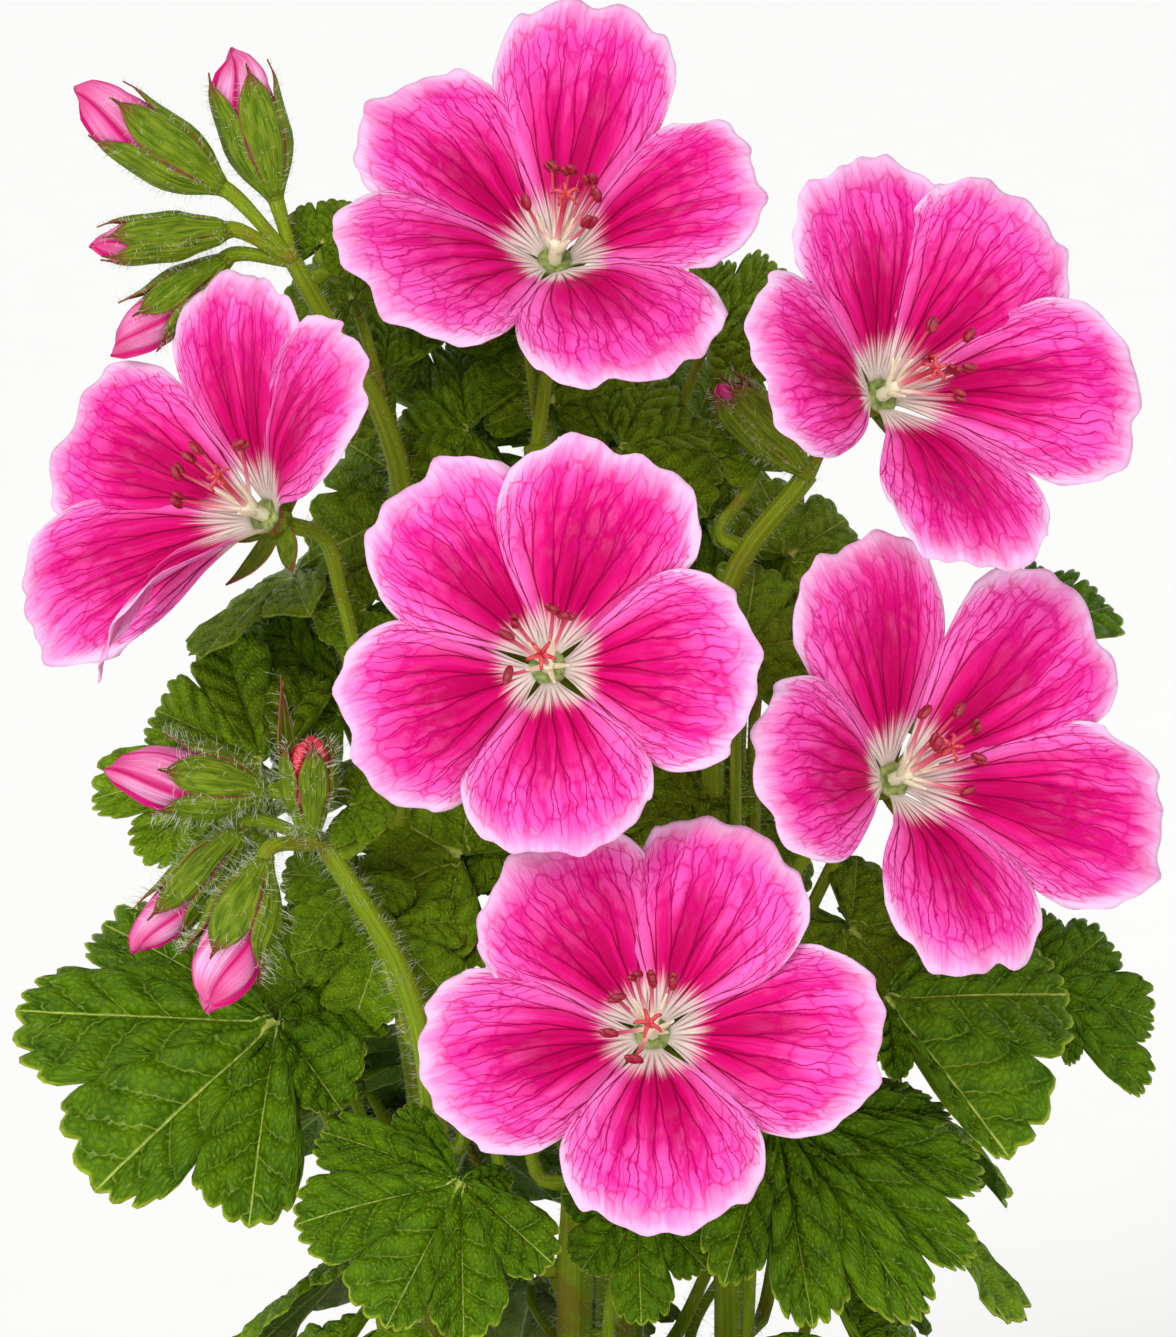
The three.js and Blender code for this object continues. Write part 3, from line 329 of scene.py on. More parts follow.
# Finishes: small helpers that write arithmetic as shader nodes

def colour(red, green, blue):
    """Screen values 0 to 255 as the linear colour that shaders take."""
    parts = [value / 255 for value in (red, green, blue)]
    return tuple(p / 12.92 if p <= 0.04045 else ((p + 0.055) / 1.055) ** 2.4 for p in parts) + (1.0,)


def feed(tree, socket, value):
    """Gives a socket a term, another socket, a number, or a colour as red, green and blue on screen."""
    if isinstance(value, (int, float)):
        socket.default_value = value
    elif isinstance(value, tuple):
        socket.default_value = colour(*value)
    else:
        tree.links.new(value.socket if isinstance(value, Term) else value, socket)


class Term:
    """A value in a shader's node tree, with plain arithmetic."""

    def __init__(self, tree, socket):
        self.tree, self.socket = tree, socket

    def math(self, operation, *others):
        node = self.tree.nodes.new("ShaderNodeMath")
        node.operation = operation
        for k, term in enumerate((self,) + others):
            feed(self.tree, node.inputs[k], term)
        return Term(self.tree, node.outputs[0])

    def __add__(self, other):
        return self.math("ADD", other)

    def __sub__(self, other):
        return self.math("SUBTRACT", other)

    def __mul__(self, other):
        return self.math("MULTIPLY", other)

    def abs(self):
        return self.math("ABSOLUTE")

    def floor(self):
        return self.math("FLOOR")

    def part(self):
        """What stands after the decimal point."""
        return self.math("FRACT")

    def power(self, other):
        return self.math("POWER", other)

    def least(self, other):
        return self.math("MINIMUM", other)

    def between(self, low, high, to_low=0.0, to_high=1.0):
        """A soft step from low to high."""
        node = self.tree.nodes.new("ShaderNodeMapRange")
        node.interpolation_type = "SMOOTHSTEP"
        for k, term in enumerate((self, low, high, to_low, to_high)):
            feed(self.tree, node.inputs[k], term)
        return Term(self.tree, node.outputs[0])

    def fall(self, low, high, to=0.0):
        """A soft step down from 1 to a last value."""
        return self.between(low, high, 1.0, to)


class Shader:
    """A node tree under construction: a finish, or a group shared by finishes."""

    def __init__(self, tree):
        self.tree = tree

    def node(self, kind, **settings):
        node = self.tree.nodes.new(kind)
        for name, value in settings.items():
            setattr(node, name, value)
        return node

    def term(self, node, output=0):
        return Term(self.tree, node.outputs[output])

    def split(self, where):
        """The three places of a vector."""
        parts = self.node("ShaderNodeSeparateXYZ")
        feed(self.tree, parts.inputs[0], where)
        return [self.term(parts, k) for k in range(3)]

    def growth(self):
        """The two places of the piece's own map."""
        return self.split(self.node("ShaderNodeUVMap", uv_map=MAP_NAME).outputs[0])[:2]

    def place(self):
        return self.node("ShaderNodeTexCoord").outputs["Object"]

    def vector(self, x, y, z):
        node = self.node("ShaderNodeCombineXYZ")
        for k, term in enumerate((x, y, z)):
            feed(self.tree, node.inputs[k], term)
        return node.outputs[0]

    def pattern(self, kind, where, output, settings, **inputs):
        node = self.node("ShaderNodeTex" + kind, **settings)
        feed(self.tree, node.inputs["Vector"], where)
        for name, value in inputs.items():
            node.inputs[name].default_value = value
        return self.term(node, output)

    def noise(self, where, scale, detail=3.0, rough=0.55, distortion=0.0):
        return self.pattern("Noise", where, "Fac", {}, Scale=scale, Detail=detail, Roughness=rough,
                            Distortion=distortion)

    def cells(self, where, scale):
        """How far a place lies from the edges of cells."""
        return self.pattern("Voronoi", where, "Distance", {"feature": "DISTANCE_TO_EDGE"}, Scale=scale)

    def chance(self, where):
        return self.pattern("WhiteNoise", where, "Value", {"noise_dimensions": "3D"})

    def mix(self, share, one, other, blend="MIX"):
        """Two colours mixed."""
        node = self.node("ShaderNodeMix", data_type="RGBA", blend_type=blend)
        for k, term in ((0, share), (6, one), (7, other)):
            feed(self.tree, node.inputs[k], term)
        return node.outputs[2]

    def bump(self, height, distance, strength, under=None):
        """A normal for relief of so many millimetres, over finer relief where there is some."""
        node = self.node("ShaderNodeBump")
        node.inputs["Strength"].default_value = strength
        node.inputs["Distance"].default_value = distance * MM
        feed(self.tree, node.inputs["Height"], height)
        if under is not None:
            feed(self.tree, node.inputs["Normal"], under)
        return node.outputs[0]

    def group(self, tree):
        node = self.node("ShaderNodeGroup", node_tree=tree)
        return {socket.name: self.term(node, k) for k, socket in enumerate(node.outputs)}


def shared(name, build):
    """A node group whose named outputs build returns."""
    tree = bpy.data.node_groups.new(name, "ShaderNodeTree")
    shader = Shader(tree)
    found = build(shader)
    end = tree.nodes.new("NodeGroupOutput")
    for title in found:
        tree.interface.new_socket(name=title, in_out="OUTPUT", socket_type="NodeSocketFloat")
    for title, term in found.items():
        feed(tree, end.inputs[title], term)
    return tree


def finish(name, build, **fixed):
    """A finish whose changing inputs build returns; fixed ones are set on the shader itself."""
    material = bpy.data.materials.new(name)
    material.use_nodes = True
    tree = material.node_tree
    surface = tree.nodes["Principled BSDF"]
    for title, value in fixed.items():
        surface.inputs[title.replace("_", " ")].default_value = value
    for title, value in build(Shader(tree)).items():
        feed(tree, surface.inputs[title], value)
    return material


# Petal markings: the map runs across from -1 to 1 (with the petal's number) and along from claw to rim

def petal_marks(s):
    across, v = s.growth()
    number = across.floor()
    u = (across - number - 0.5) * (2 / 0.98)
    side = u.abs()
    drift = s.noise(s.vector(u * 0.9, v * 0.9, number * 3.7), 2.0, 2.0) - 0.5
    flutter = s.noise(s.vector(u * 2.6, v * 2.2, number * 1.9), 3.0, 2.0) - 0.5
    streak = s.noise(s.vector(u * 6.0 + drift * 2, v * 0.7, number * 5.3), 1.0, 3.0, 0.6)
    fine = s.noise(s.vector(u * 30, v * 2.6, number * 2.3), 1.0, 3.0, 0.65)
    fleck = s.noise(s.vector(u * 22, v * 13, number * 4.1), 1.0, 3.0, 0.7)
    wobble = s.noise(s.vector(u * 5.0, v * 5.0, number * 3.1), 1.6, 3.0) - 0.5
    # Seven main veins that fork twice on their way to the rim
    x = (u + (drift * 0.34 + wobble * 0.13) * v + flutter * 0.035 + drift * 0.05) * 3.5
    branch = x.math("ROUND")
    luck = s.chance(s.vector(branch, number, 4.0))
    luck_side = s.chance(s.vector(branch, number, x.math("SIGN") * 2))
    first = v.between(luck * 0.2 + 0.12, luck * 0.1 + 0.6) * 0.25
    one = ((x - branch).abs() - first).abs()
    second = v.between(luck_side * 0.22 + 0.34, luck * 0.1 + 0.82) * 0.125
    two = (one - second).abs()
    broad = (v * 1.45).least(1.0).power(1.25) * 3.6 + 0.28
    wide = v * -0.09 + 0.168
    fade = v.between(0.02, 0.10) * v.fall(0.72, 0.96, 0.15)
    vein = (two * broad).fall(wide * 0.2, wide * (fine * 0.7 + 0.62)) * fade
    halo = (one * broad).fall(0.0, 1.1) * v.between(0.1, 0.25) * v.fall(0.5, 0.9)
    # Loops that tie the forks together in the outer half
    across_loops = u * broad * 1.9 + flutter * 1.3 + wobble * 0.9
    along_loops = v * 6.2 + drift * 2.5 + wobble * 0.6
    loops = s.cells(s.vector(across_loops, along_loops, number * 9.1), 1.0)
    net = loops.fall(0.02, 0.085) * v.between(0.3, 0.6) * v.fall(0.84, 0.97, 0.1)
    island = loops.between(0.05, 0.4) * v.between(0.3, 0.6) * v.fall(0.88, 1.0)
    ragged = (fine - 0.5) * 0.26 + (streak - 0.5) * 0.1
    throat_edge = s.noise(s.vector(u * 11, 0.0, number * 7.7), 1.0, 2.0) * 0.14 + ragged + side * 0.08
    throat = v.fall(throat_edge, throat_edge + 0.12)
    # The blaze ends unevenly, sooner toward the petal's sides
    reach = s.chance(s.vector(number, 2.0, 7.0)) * 0.24 + 0.76 - side * side * 0.34
    reach = reach + (streak - 0.5) * 0.5 + (fine - 0.5) * 0.3
    blaze = v.between(throat_edge - 0.01, throat_edge + 0.11) * v.fall(reach - 0.42, reach + 0.04)
    blaze = blaze * (side.fall(0.34, 0.94) * 0.88 + 0.12)
    wedge = side.fall(0.12, 0.62) * v.fall(0.5, 0.9)
    deep = blaze * wedge * streak.between(0.38, 0.56)
    flank = side.between(0.45, 1.0) * v.between(0.1, 0.35)
    edge = v + flutter * 0.12 + side.power(3.0) * 0.2 * v + (fine - 0.5) * 0.12
    rim = edge.between(0.8, 1.06)
    return {"Along": v, "Vein": vein, "Halo": halo, "Net": net, "Island": island, "Flank": flank,
            "Throat": throat, "Blaze": blaze, "Deep": deep, "Rim": rim, "Streak": streak, "Fine": fine,
            "Fleck": fleck}


PETAL_MARKS = shared("petal_marks", petal_marks)


def petal_face(s):
    m = s.group(PETAL_MARKS)
    base = s.mix(m["Streak"].between(0.3, 0.75), (240, 88, 184), (230, 30, 150))
    base = s.mix(m["Blaze"] * 0.92, base, (222, 0, 120))
    base = s.mix(m["Halo"] * m["Blaze"] * 0.7, base, (200, 0, 86))
    base = s.mix(m["Deep"] * 0.9, base, (178, 0, 80))
    base = s.mix(m["Fleck"].between(0.48, 0.7) * m["Along"].between(0.3, 0.8) * 0.24, base, (244, 104, 188))
    base = s.mix(m["Island"] * 0.16, base, (244, 116, 198))
    base = s.mix(m["Flank"] * 0.55, base, (244, 136, 206))
    base = s.mix(m["Rim"] * 0.9, base, (234, 184, 224))
    base = s.mix(m["Throat"] * 0.97, base, (236, 228, 216))
    base = s.mix(m["Net"] * 0.6, base, (206, 8, 120))
    inked = s.mix(m["Along"].between(0.3, 0.7), (136, 0, 58), (188, 0, 104))
    base = s.mix(m["Vein"] * (m["Throat"] * -0.36 + 0.96), base, inked)
    base = s.mix(m["Rim"].between(0.55, 1.0) * 0.5, base, (238, 204, 232))
    furrow = m["Vein"] * -0.3 + m["Net"] * -0.2 + m["Fine"] * 0.7 + m["Streak"] * 0.5
    grain = s.noise(s.place(), 4200.0, 2.0)
    normal = s.bump(furrow, 0.26, 0.9, s.bump(grain, 0.03, 0.4))
    return {"Base Color": base, "Normal": normal, "Roughness": m["Fine"] * 0.15 + 0.42}


def petal_back(s):
    m = s.group(PETAL_MARKS)
    base = s.mix(m["Streak"].between(0.3, 0.75), (236, 136, 200), (226, 92, 170))
    base = s.mix(m["Blaze"] * 0.5, base, (222, 50, 136))
    base = s.mix(m["Rim"] * 0.6, base, (234, 190, 226))
    base = s.mix(m["Throat"] * 0.85, base, (214, 214, 176))
    base = s.mix(m["Vein"] * 0.55, base, (190, 40, 110))
    base = s.mix(m["Net"] * 0.3, base, (200, 60, 130))
    normal = s.bump(m["Vein"] * 0.9 + m["Fine"] * 0.4, 0.18, 0.8)
    return {"Base Color": base, "Normal": normal, "Roughness": m["Fine"] * 0.12 + 0.42}


PETAL_BODY = {"Subsurface_Weight": 0.06, "Subsurface_Radius": (1.0, 0.3, 0.5), "Subsurface_Scale": 0.0004,
              "Specular_IOR_Level": 0.035}


def throat_cup_painted_shade(s):
    tone = s.noise(s.place(), 900.0, 3.0)
    # Painted shade: the green of the flower's centre, darkened so that the throat reads as deep.
    base = s.mix(tone.between(0.3, 0.7), (82, 104, 36), (158, 168, 92))
    return {"Base Color": base, "Roughness": tone * 0.2 + 0.35, "Normal": s.bump(tone, 0.1, 0.6)}


PETAL_FINISH = [finish("petal_face", petal_face, **PETAL_BODY),
                finish("petal_back", petal_back, **PETAL_BODY),
                finish("throat_cup_painted_shade", throat_cup_painted_shade, Specular_IOR_Level=0.4)]


# Blooms

CLAW_RADIUS = 2.0
CLAW_WIDTH = 1.9
PETAL_SHOULDER = 0.64
PETAL_LAYER = 1.0
PETAL_ACROSS = 46
PETAL_ALONG = 36
STAMEN_HEIGHT = 11.5
ANTHER_SCATTER = 1.5

# Throat and petal tips in pixels, petal widths, layers and, where it differs, the rise
FLOWERS = [
    dict(name="top", stem="top", start=1, throat=(555, 262), toward=-2, turn=2, tilt=36, rise=12,
         petals=[(603, 3, 26, 1), (762, 190, 26, 2), (652, 394, 29, 3), (362, 302, 31, 2), (378, 96, 27, 0)],
         anthers=[(552, 167), (569, 171), (590, 180), (596, 194), (526, 202), (589, 222)], stigma=(566, 191)),
    dict(name="upper_right", stem="right", start=1, throat=(880, 396), toward=3, turn=32, tilt=17, rise=13,
         petals=[(848, 158, 27, 0), (1022, 200, 27, 1), (1136, 402, 27, 2),
                 (978, 578, 26, 3), (753, 368, 27, 1)],
         anthers=[(932, 325), (969, 335), (969, 368), (954, 370), (959, 395), (929, 359)], stigma=(938, 367)),
    dict(name="left", stem="upper_left", start=0.62, throat=(266, 516), toward=3, turn=-43, tilt=15, rise=14,
         petals=[(252, 274, 26, 1), (368, 352, 24, 2), (112, 682, 24, 3, 23),
                 (24, 618, 26, 1), (62, 420, 26, 0)],
         anthers=[(196, 448), (189, 457), (178, 472), (178, 500), (241, 445)], stigma=(214, 476),
         knee=(342, 596, -6)),
    dict(name="centre", stem="centre", start=1, throat=(548, 667), toward=24, turn=0, tilt=5, rise=8,
         petals=[(410, 478, 26, 1), (618, 444, 28, 2), (758, 668, 27, 3),
                 (572, 856, 25.5, 4), (346, 742, 27, 0)],
         anthers=[(506, 635), (515, 621), (553, 609), (566, 616), (508, 675)], stigma=(541, 654)),
    dict(name="right", stem="right", start=0.6, throat=(892, 780), toward=4, turn=32, tilt=13, rise=13,
         petals=[(852, 537, 27, 0), (1094, 616, 28, 1), (1160, 846, 27, 2),
                 (976, 982, 26, 3), (752, 764, 26, 1)],
         anthers=[(925, 712), (959, 710), (976, 727), (979, 759), (968, 791), (936, 742)], stigma=(954, 746)),
    dict(name="bottom", stem="centre", start=0.9, throat=(652, 1034), toward=22, turn=0, tilt=20, rise=9,
         petals=[(520, 855, 27, 0), (756, 834, 27, 1), (885, 1046, 28, 0),
                 (668, 1238, 27, 3), (424, 1086, 27, 1)],
         anthers=[(609, 1033), (617, 998), (635, 976), (673, 981), (634, 1059), (652, 979)],
         stigma=(649, 1021)),
]

# Margins that turn back on one side: bloom, petal, side and how far
FOLDED_BACK = {("right", 1): (-1, 5.0), ("bottom", 1): (1, 3.0), ("left", 2): (1, 2.0),
               ("upper_right", 4): (1, 1.6)}
# Petals rolled edge-on, by degrees
ROLLED = {("left", 2): 42}


def seen_flower(entry):
    throat = seen(*entry["throat"], entry["toward"])
    axis = facing(entry["turn"], entry["tilt"])
    right, above = square_to(axis, ACROSS)
    petals = []
    for px, py, width, layer, *own in entry["petals"]:
        rise = own[0] if own else entry["rise"]
        arm = sight_on_plane(px, py, throat, axis, rise) - throat
        up_share, right_share = arm @ above, arm @ right
        petals.append(dict(bearing=math.atan2(up_share, right_share), reach=math.hypot(up_share, right_share),
                           width=width, layer=layer, rise=rise))
    anthers = []
    for i, pixel in enumerate(entry["anthers"]):
        height = STAMEN_HEIGHT + ANTHER_SCATTER * (draw(i + throat[0]) - 0.5)
        anthers.append(sight_on_plane(*pixel, throat, axis, height))
    stigma = sight_on_plane(*entry["stigma"], throat, axis, STAMEN_HEIGHT + 1)
    return dict(entry, throat=throat, axis=axis, right=right, above=above, petals=petals, anthers=anthers,
                stigma=stigma)


BACK_THROAT = np.array([-4.0, 60.0, 211.0])
BACK_AXIS = unit(np.array([-0.16, 0.88, 0.42]))
BACK_LAYERS = (0, 1, 2, 3, 1)
BACK_ANTHERS = 6


def back_flower(seed):
    """The bloom on the far side, with petals by rule."""
    right, above = square_to(BACK_AXIS, np.array([BACK_AXIS[1], -BACK_AXIS[0], 0]))
    petals = [dict(bearing=math.radians(90 - 72 * k + 6 * (draw(seed + k) - 0.5)), width=26, layer=layer,
                   rise=10, reach=28 + 2.5 * draw(seed * 2 + k)) for k, layer in enumerate(BACK_LAYERS)]
    anthers = [BACK_THROAT + BACK_AXIS * (STAMEN_HEIGHT + draw(seed + 3 * k))
               + 5 * spoke(right, above, k / BACK_ANTHERS * FULL_TURN + draw(seed + k))
               for k in range(BACK_ANTHERS)]
    return dict(name="back", stem="back", start=1, throat=BACK_THROAT, axis=BACK_AXIS, right=right,
                above=above, petals=petals, anthers=anthers,
                stigma=BACK_THROAT + BACK_AXIS * (STAMEN_HEIGHT + 2))


def up_the_axis(piece, height):
    """The place at a height above the throat of a bloom or the foot of a bud."""
    return piece["throat"] + piece["axis"] * height


def outward(piece, angle):
    return spoke(piece["right"], piece["above"], angle)


BLOOMS = [seen_flower(entry) for entry in FLOWERS] + [back_flower(11)]


def waves(x, *terms):
    """A sum of ripples, each with its height, its number and its phase."""
    return sum(height * np.sin(number * x + phase) for height, number, phase in terms)


def petal_sheet(work, flower, index, petal, number):
    """One petal: the funnel of the solid, with a waved rim, furrows and a lap of its own."""
    luck = np.random.default_rng(int(1000 * petal["reach"]) + index)
    u = np.linspace(-1, 1, PETAL_ACROSS + 1)[None, :]
    v = (np.linspace(0, 1, PETAL_ALONG + 1) ** 0.92)[:, None]
    bend = u * math.pi / 2
    phase = luck.uniform(0, 6.28, 6)
    rim = waves(u, (0.015, 8, phase[0]), (0.012, 15, phase[1]), (0.008, 26, phase[2]))
    rim = rim - luck.uniform(0.0, 0.045) * np.exp(-((u - luck.uniform(-0.15, 0.15)) / 0.13) ** 2)
    rounder = np.abs(np.cos(bend)) ** 0.92
    margin = petal["reach"] * (PETAL_SHOULDER + (1 - PETAL_SHOULDER) * rounder)
    along = CLAW_RADIUS + (margin - CLAW_RADIUS) * v + petal["reach"] * rim * v ** 5
    opening = np.sin(v * math.pi / 2) ** 1.18
    across = lerp(CLAW_WIDTH / 2 * u, petal["width"] / 2 * np.sin(bend), opening)
    across = across + luck.uniform(-1.0, 1.0) * v ** 2
    across = across + 0.012 * petal["width"] * np.sin(8 * v + phase[3]) * u * v
    share = np.clip((along - CLAW_RADIUS) / (petal["reach"] - CLAW_RADIUS), 0, 1)
    funnel = petal["rise"] * np.sin(share * math.pi / 2) ** 0.9
    height = funnel + 0.2 * u ** 2 * v + petal["layer"] * PETAL_LAYER * np.minimum(1, 3.2 * v)
    # Relief: a furrow down the middle, fine ribs that fan out, a waved rim that leans over a little
    height = height - 0.45 * np.exp(-(u / 0.16) ** 2) * np.sin(math.pi * np.minimum(v * 1.1, 1))
    height = (height + 0.09 * np.cos(19 * u + phase[4]) * np.sin(math.pi * v)
              + 0.04 * np.cos(41 * u + phase[5]) * v)
    wave = waves(u, (0.42, 7.5, phase[1]), (0.3, 14, phase[3]), (0.16, 25, phase[0]))
    height = height + wave * v ** 6 - luck.uniform(0.3, 1.1) * v ** 9 + luck.uniform(-0.6, 0.6) * u * v ** 2
    height = height + 0.36 * np.sin(4.5 * u + 8 * v + phase[2]) * v ** 2
    height = height + 0.16 * np.sin(11 * u - 9 * v + phase[0]) * v ** 2
    side, far = FOLDED_BACK.get((flower["name"], index), (0, 0))
    if side:
        turned = smooth(0.45, 1.0, side * u) * smooth(0.2, 0.75, v)
        height = height - far * turned ** 1.5
        across = across - side * far * 0.35 * turned ** 2
    roll = math.radians(ROLLED.get((flower["name"], index), 0)) * smooth(0.1, 0.8, v)
    height, across = height + across * np.sin(roll), across * np.cos(roll)
    way = outward(flower, petal["bearing"])
    aside = np.cross(flower["axis"], way)
    points = (flower["throat"] + way * along[..., None] + aside * across[..., None]
              + flower["axis"] * height[..., None])
    uv = np.stack(np.broadcast_arrays(number + 0.01 + 0.98 * (u + 1) / 2, v), 2)
    sheet(work, points[:, ::-1], uv[:, ::-1], 0.16 + 0.3 * (1 - v) ** 2 + 0 * u)


# Radius and height round the cup that holds the claws
CUP_PROFILE = [(0.3, -0.5), (2.3, -0.5), (2.7, 0.2), (2.2, 0.75), (1.3, 0.4), (0.3, 0.25)]
CUP_SIDES = 40


def throat_ring(work, flower):
    """The small green-white cup that holds the claws together."""
    ring = outward(flower, round_angles(CUP_SIDES))
    points = np.concatenate([flower["throat"] + ring * r + flower["axis"] * h for r, h in CUP_PROFILE])
    count = len(points)
    closed = grid_faces(len(CUP_PROFILE) + 1, CUP_SIDES, True) % count
    work.add(points, [closed], np.tile([0.5, 0.02], (count, 1)), 2)


def filament_face(s):
    v = s.growth()[1]
    tone = s.noise(s.place(), 900.0, 2.0)
    base = s.mix(v.between(0.1, 0.62), (240, 230, 208), (216, 96, 124))
    base = s.mix(v.between(0.55, 0.95) * 0.85, base, (184, 24, 54))
    base = s.mix(tone.between(0.5, 0.75) * 0.35, base, (210, 110, 140))
    return {"Base Color": base, "Roughness": tone * 0.2 + 0.35}


def anther_face(s):
    tone = s.noise(s.place(), 2400.0, 3.0)
    base = s.mix(tone.between(0.35, 0.7), (118, 2, 28), (176, 12, 46))
    return {"Base Color": base, "Roughness": tone * 0.25 + 0.3, "Normal": s.bump(tone, 0.12, 0.8)}


def barren_face(s):
    tone = s.noise(s.place(), 1500.0, 2.0)
    return {"Base Color": s.mix(tone, (228, 226, 178), (244, 236, 214)), "Roughness": tone * 0.2 + 0.35}


def stigma_face(s):
    tone = s.noise(s.place(), 1900.0, 3.0)
    base = s.mix(tone.between(0.35, 0.7), (178, 26, 48), (226, 92, 92))
    return {"Base Color": base, "Roughness": tone * 0.2 + 0.35, "Normal": s.bump(tone, 0.1, 0.8)}


STAMEN_FINISH = [finish("filament", filament_face, Subsurface_Weight=0.1, Subsurface_Scale=0.0005),
                 finish("anther", anther_face, Specular_IOR_Level=0.6),
                 finish("barren_filament", barren_face, Subsurface_Weight=0.1, Subsurface_Scale=0.0005),
                 finish("stigma", stigma_face, Specular_IOR_Level=0.5)]


BARREN_FILAMENTS = 5
STIGMA_ARMS = 5


def stamens(flower):
    work = Patchwork()
    axis = flower["axis"]
    column = [up_the_axis(flower, height) for height in (-0.4, 2.2, 4.4)]
    tube(work, curve_through(column, 6), [1.0, 0.9, 0.8], 14, 2, ridge=0.08, ridges=7)
    for anther in flower["anthers"]:
        aside = unit(anther - up_the_axis(flower, STAMEN_HEIGHT)) * 0.5
        root = up_the_axis(flower, 3.4) + aside
        middle = lerp(root, anther, 0.55) + aside * 1.3 + axis * 0.5
        tube(work, curve_through([root, middle, anther], 10), [0.4, 0.3, 0.22], 8, 0)
        way = unit(unit(anther - middle) + 0.8 * unit(RNG.normal(size=3)))
        spread = square_to(way, axis)[0]
        for lobe in (-1, 1):
            long_body(work, anther + spread * 0.52 * lobe, way, 0.66, 1.25, 1, groove=0.25)
    for k in range(BARREN_FILAMENTS):
        way = outward(flower, k * 1.9 + draw(k + flower["throat"][2]) * 2)
        route = [up_the_axis(flower, 2.6) + way * 0.6, up_the_axis(flower, 5.2) + way * 1.9,
                 up_the_axis(flower, 7.2 + 1.8 * draw(k * 3 + 1)) + way * (2.6 + 1.2 * draw(k + 8))]
        tube(work, curve_through(route, 7), [0.44, 0.38, 0.16], 7, 2)
    neck = flower["stigma"] - axis * 1.2
    root = up_the_axis(flower, 3.6)
    tube(work, curve_through([root, lerp(root, neck, 0.5), neck], 8), [0.42, 0.4, 0.46], 8, 0, start_map=0.2)
    for k in range(STIGMA_ARMS):
        way = outward(flower, k / STIGMA_ARMS * FULL_TURN + draw(flower["throat"][0]))
        arm = [neck + axis * rise + way * out
               for rise, out in ((-0.2, 0), (0.8, 0.7), (0.9, 1.6), (0.1, 2.0))]
        tube(work, curve_through(arm, 8), [0.4, 0.36, 0.3, 0.2], 7, 3)
    name = "stamens_" + flower["name"]
    work.make(name, STAMEN_FINISH, "stamen_crimson", name)


def petals(flower, first):
    work = Patchwork()
    for k, petal in enumerate(flower["petals"]):
        petal_sheet(work, flower, k, petal, first + k)
    throat_ring(work, flower)
    name = "petals_" + flower["name"]
    work.make(name, PETAL_FINISH, "petal_magenta", name)


for number, bloom in enumerate(BLOOMS):
    petals(bloom, 5 * number)
    stamens(bloom)


# Greenery: finishes

VEIN_SPACING = 6.2
VEIN_LEAN = 1.05
LOBE_HALF = 0.42


def leaf_marks(s):
    """A leaf's map runs across its lobes (lobe number plus 0 to 1) and from hub to rim."""
    across, along = s.growth()
    lobe = across.floor()
    p = (across - lobe) * 2 - 1
    right = p.math("GREATER_THAN", 0.0)
    waver = s.noise(s.vector(across * 2.2, along * 5, lobe * 0.7), 1.6, 2.0) - 0.5
    x = along * p.abs() * LOBE_HALF
    main = (x + waver * 0.006 * along).abs().fall(0.0, along * -0.006 + 0.0148)
    offset = (lobe * 0.37 + right * 0.53).part()
    q = (along - x * VEIN_LEAN + waver * 0.05) * VEIN_SPACING + offset
    off = (q.part() - 0.5).abs() * (1 / VEIN_SPACING)
    reach = x.fall(0.0, 0.30, 0.35) * along.between(0.12, 0.3) * along.fall(0.9, 1.0, 0.25)
    side_vein = off.fall(0.0, 0.0088) * reach
    cells = s.cells(s.vector(x * 30 + waver * 1.2, (along - x * 0.4) * 30, lobe * 3.3), 0.9)
    net = cells.fall(0.0, 0.11)
    puff = cells.between(0.0, 0.42) * 0.45 + off.between(0.0, 0.055) * 0.55
    blotch = s.noise(s.vector(across * 3, along * 4, 0.0), 1.3, 3.0)
    rim = along.between(0.972, 0.998)
    return {"Main": main, "Side": side_vein, "Net": net, "Puff": puff, "Blotch": blotch, "Rim": rim}


LEAF_MARKS = shared("leaf_marks", leaf_marks)


def leaf_face(s, shade=(38, 72, 0), lit=(84, 116, 0), painted_crest_highlight=(100, 138, 8)):
    m = s.group(LEAF_MARKS)
    grain = s.noise(s.place(), 2600.0, 3.0)
    base = s.mix(m["Blotch"].between(0.3, 0.72), shade, lit)
    # Painted highlight on the puffed crests between the veins, and painted shade in the sunken net of small
    # veins.
    base = s.mix(m["Puff"] * 0.55, base, painted_crest_highlight)
    base = s.mix(m["Net"] * 0.34, base, (28, 60, 0))
    base = s.mix(m["Side"] * 0.6, base, (148, 172, 50))
    # Painted glints: small pale specks in the leaf's colour.
    base = s.mix(grain.between(0.62, 0.74) * 0.4, base, (150, 182, 70))
    base = s.mix(m["Main"] * 0.94, base, (190, 208, 96))
    # A paler margin: partly the leaf's own lighter edge, partly a painted highlight along the rim.
    base = s.mix(m["Rim"] * 0.75, base, (164, 182, 48))
    relief = m["Puff"] - m["Main"] * 0.3 - m["Side"] * 0.2
    normal = s.bump(relief, 0.5, 0.95, s.bump(grain, 0.12, 0.6))
    return {"Base Color": base, "Normal": normal, "Roughness": grain * 0.3 + 0.24}


# A lighter copy of the leaf finish, as painted fill light: it brightens leaves that lie in the shade of the
# blooms.
def leaf_face_with_painted_fill_light(s):
    return leaf_face(s, (66, 98, 2), (114, 146, 10), (136, 170, 24))


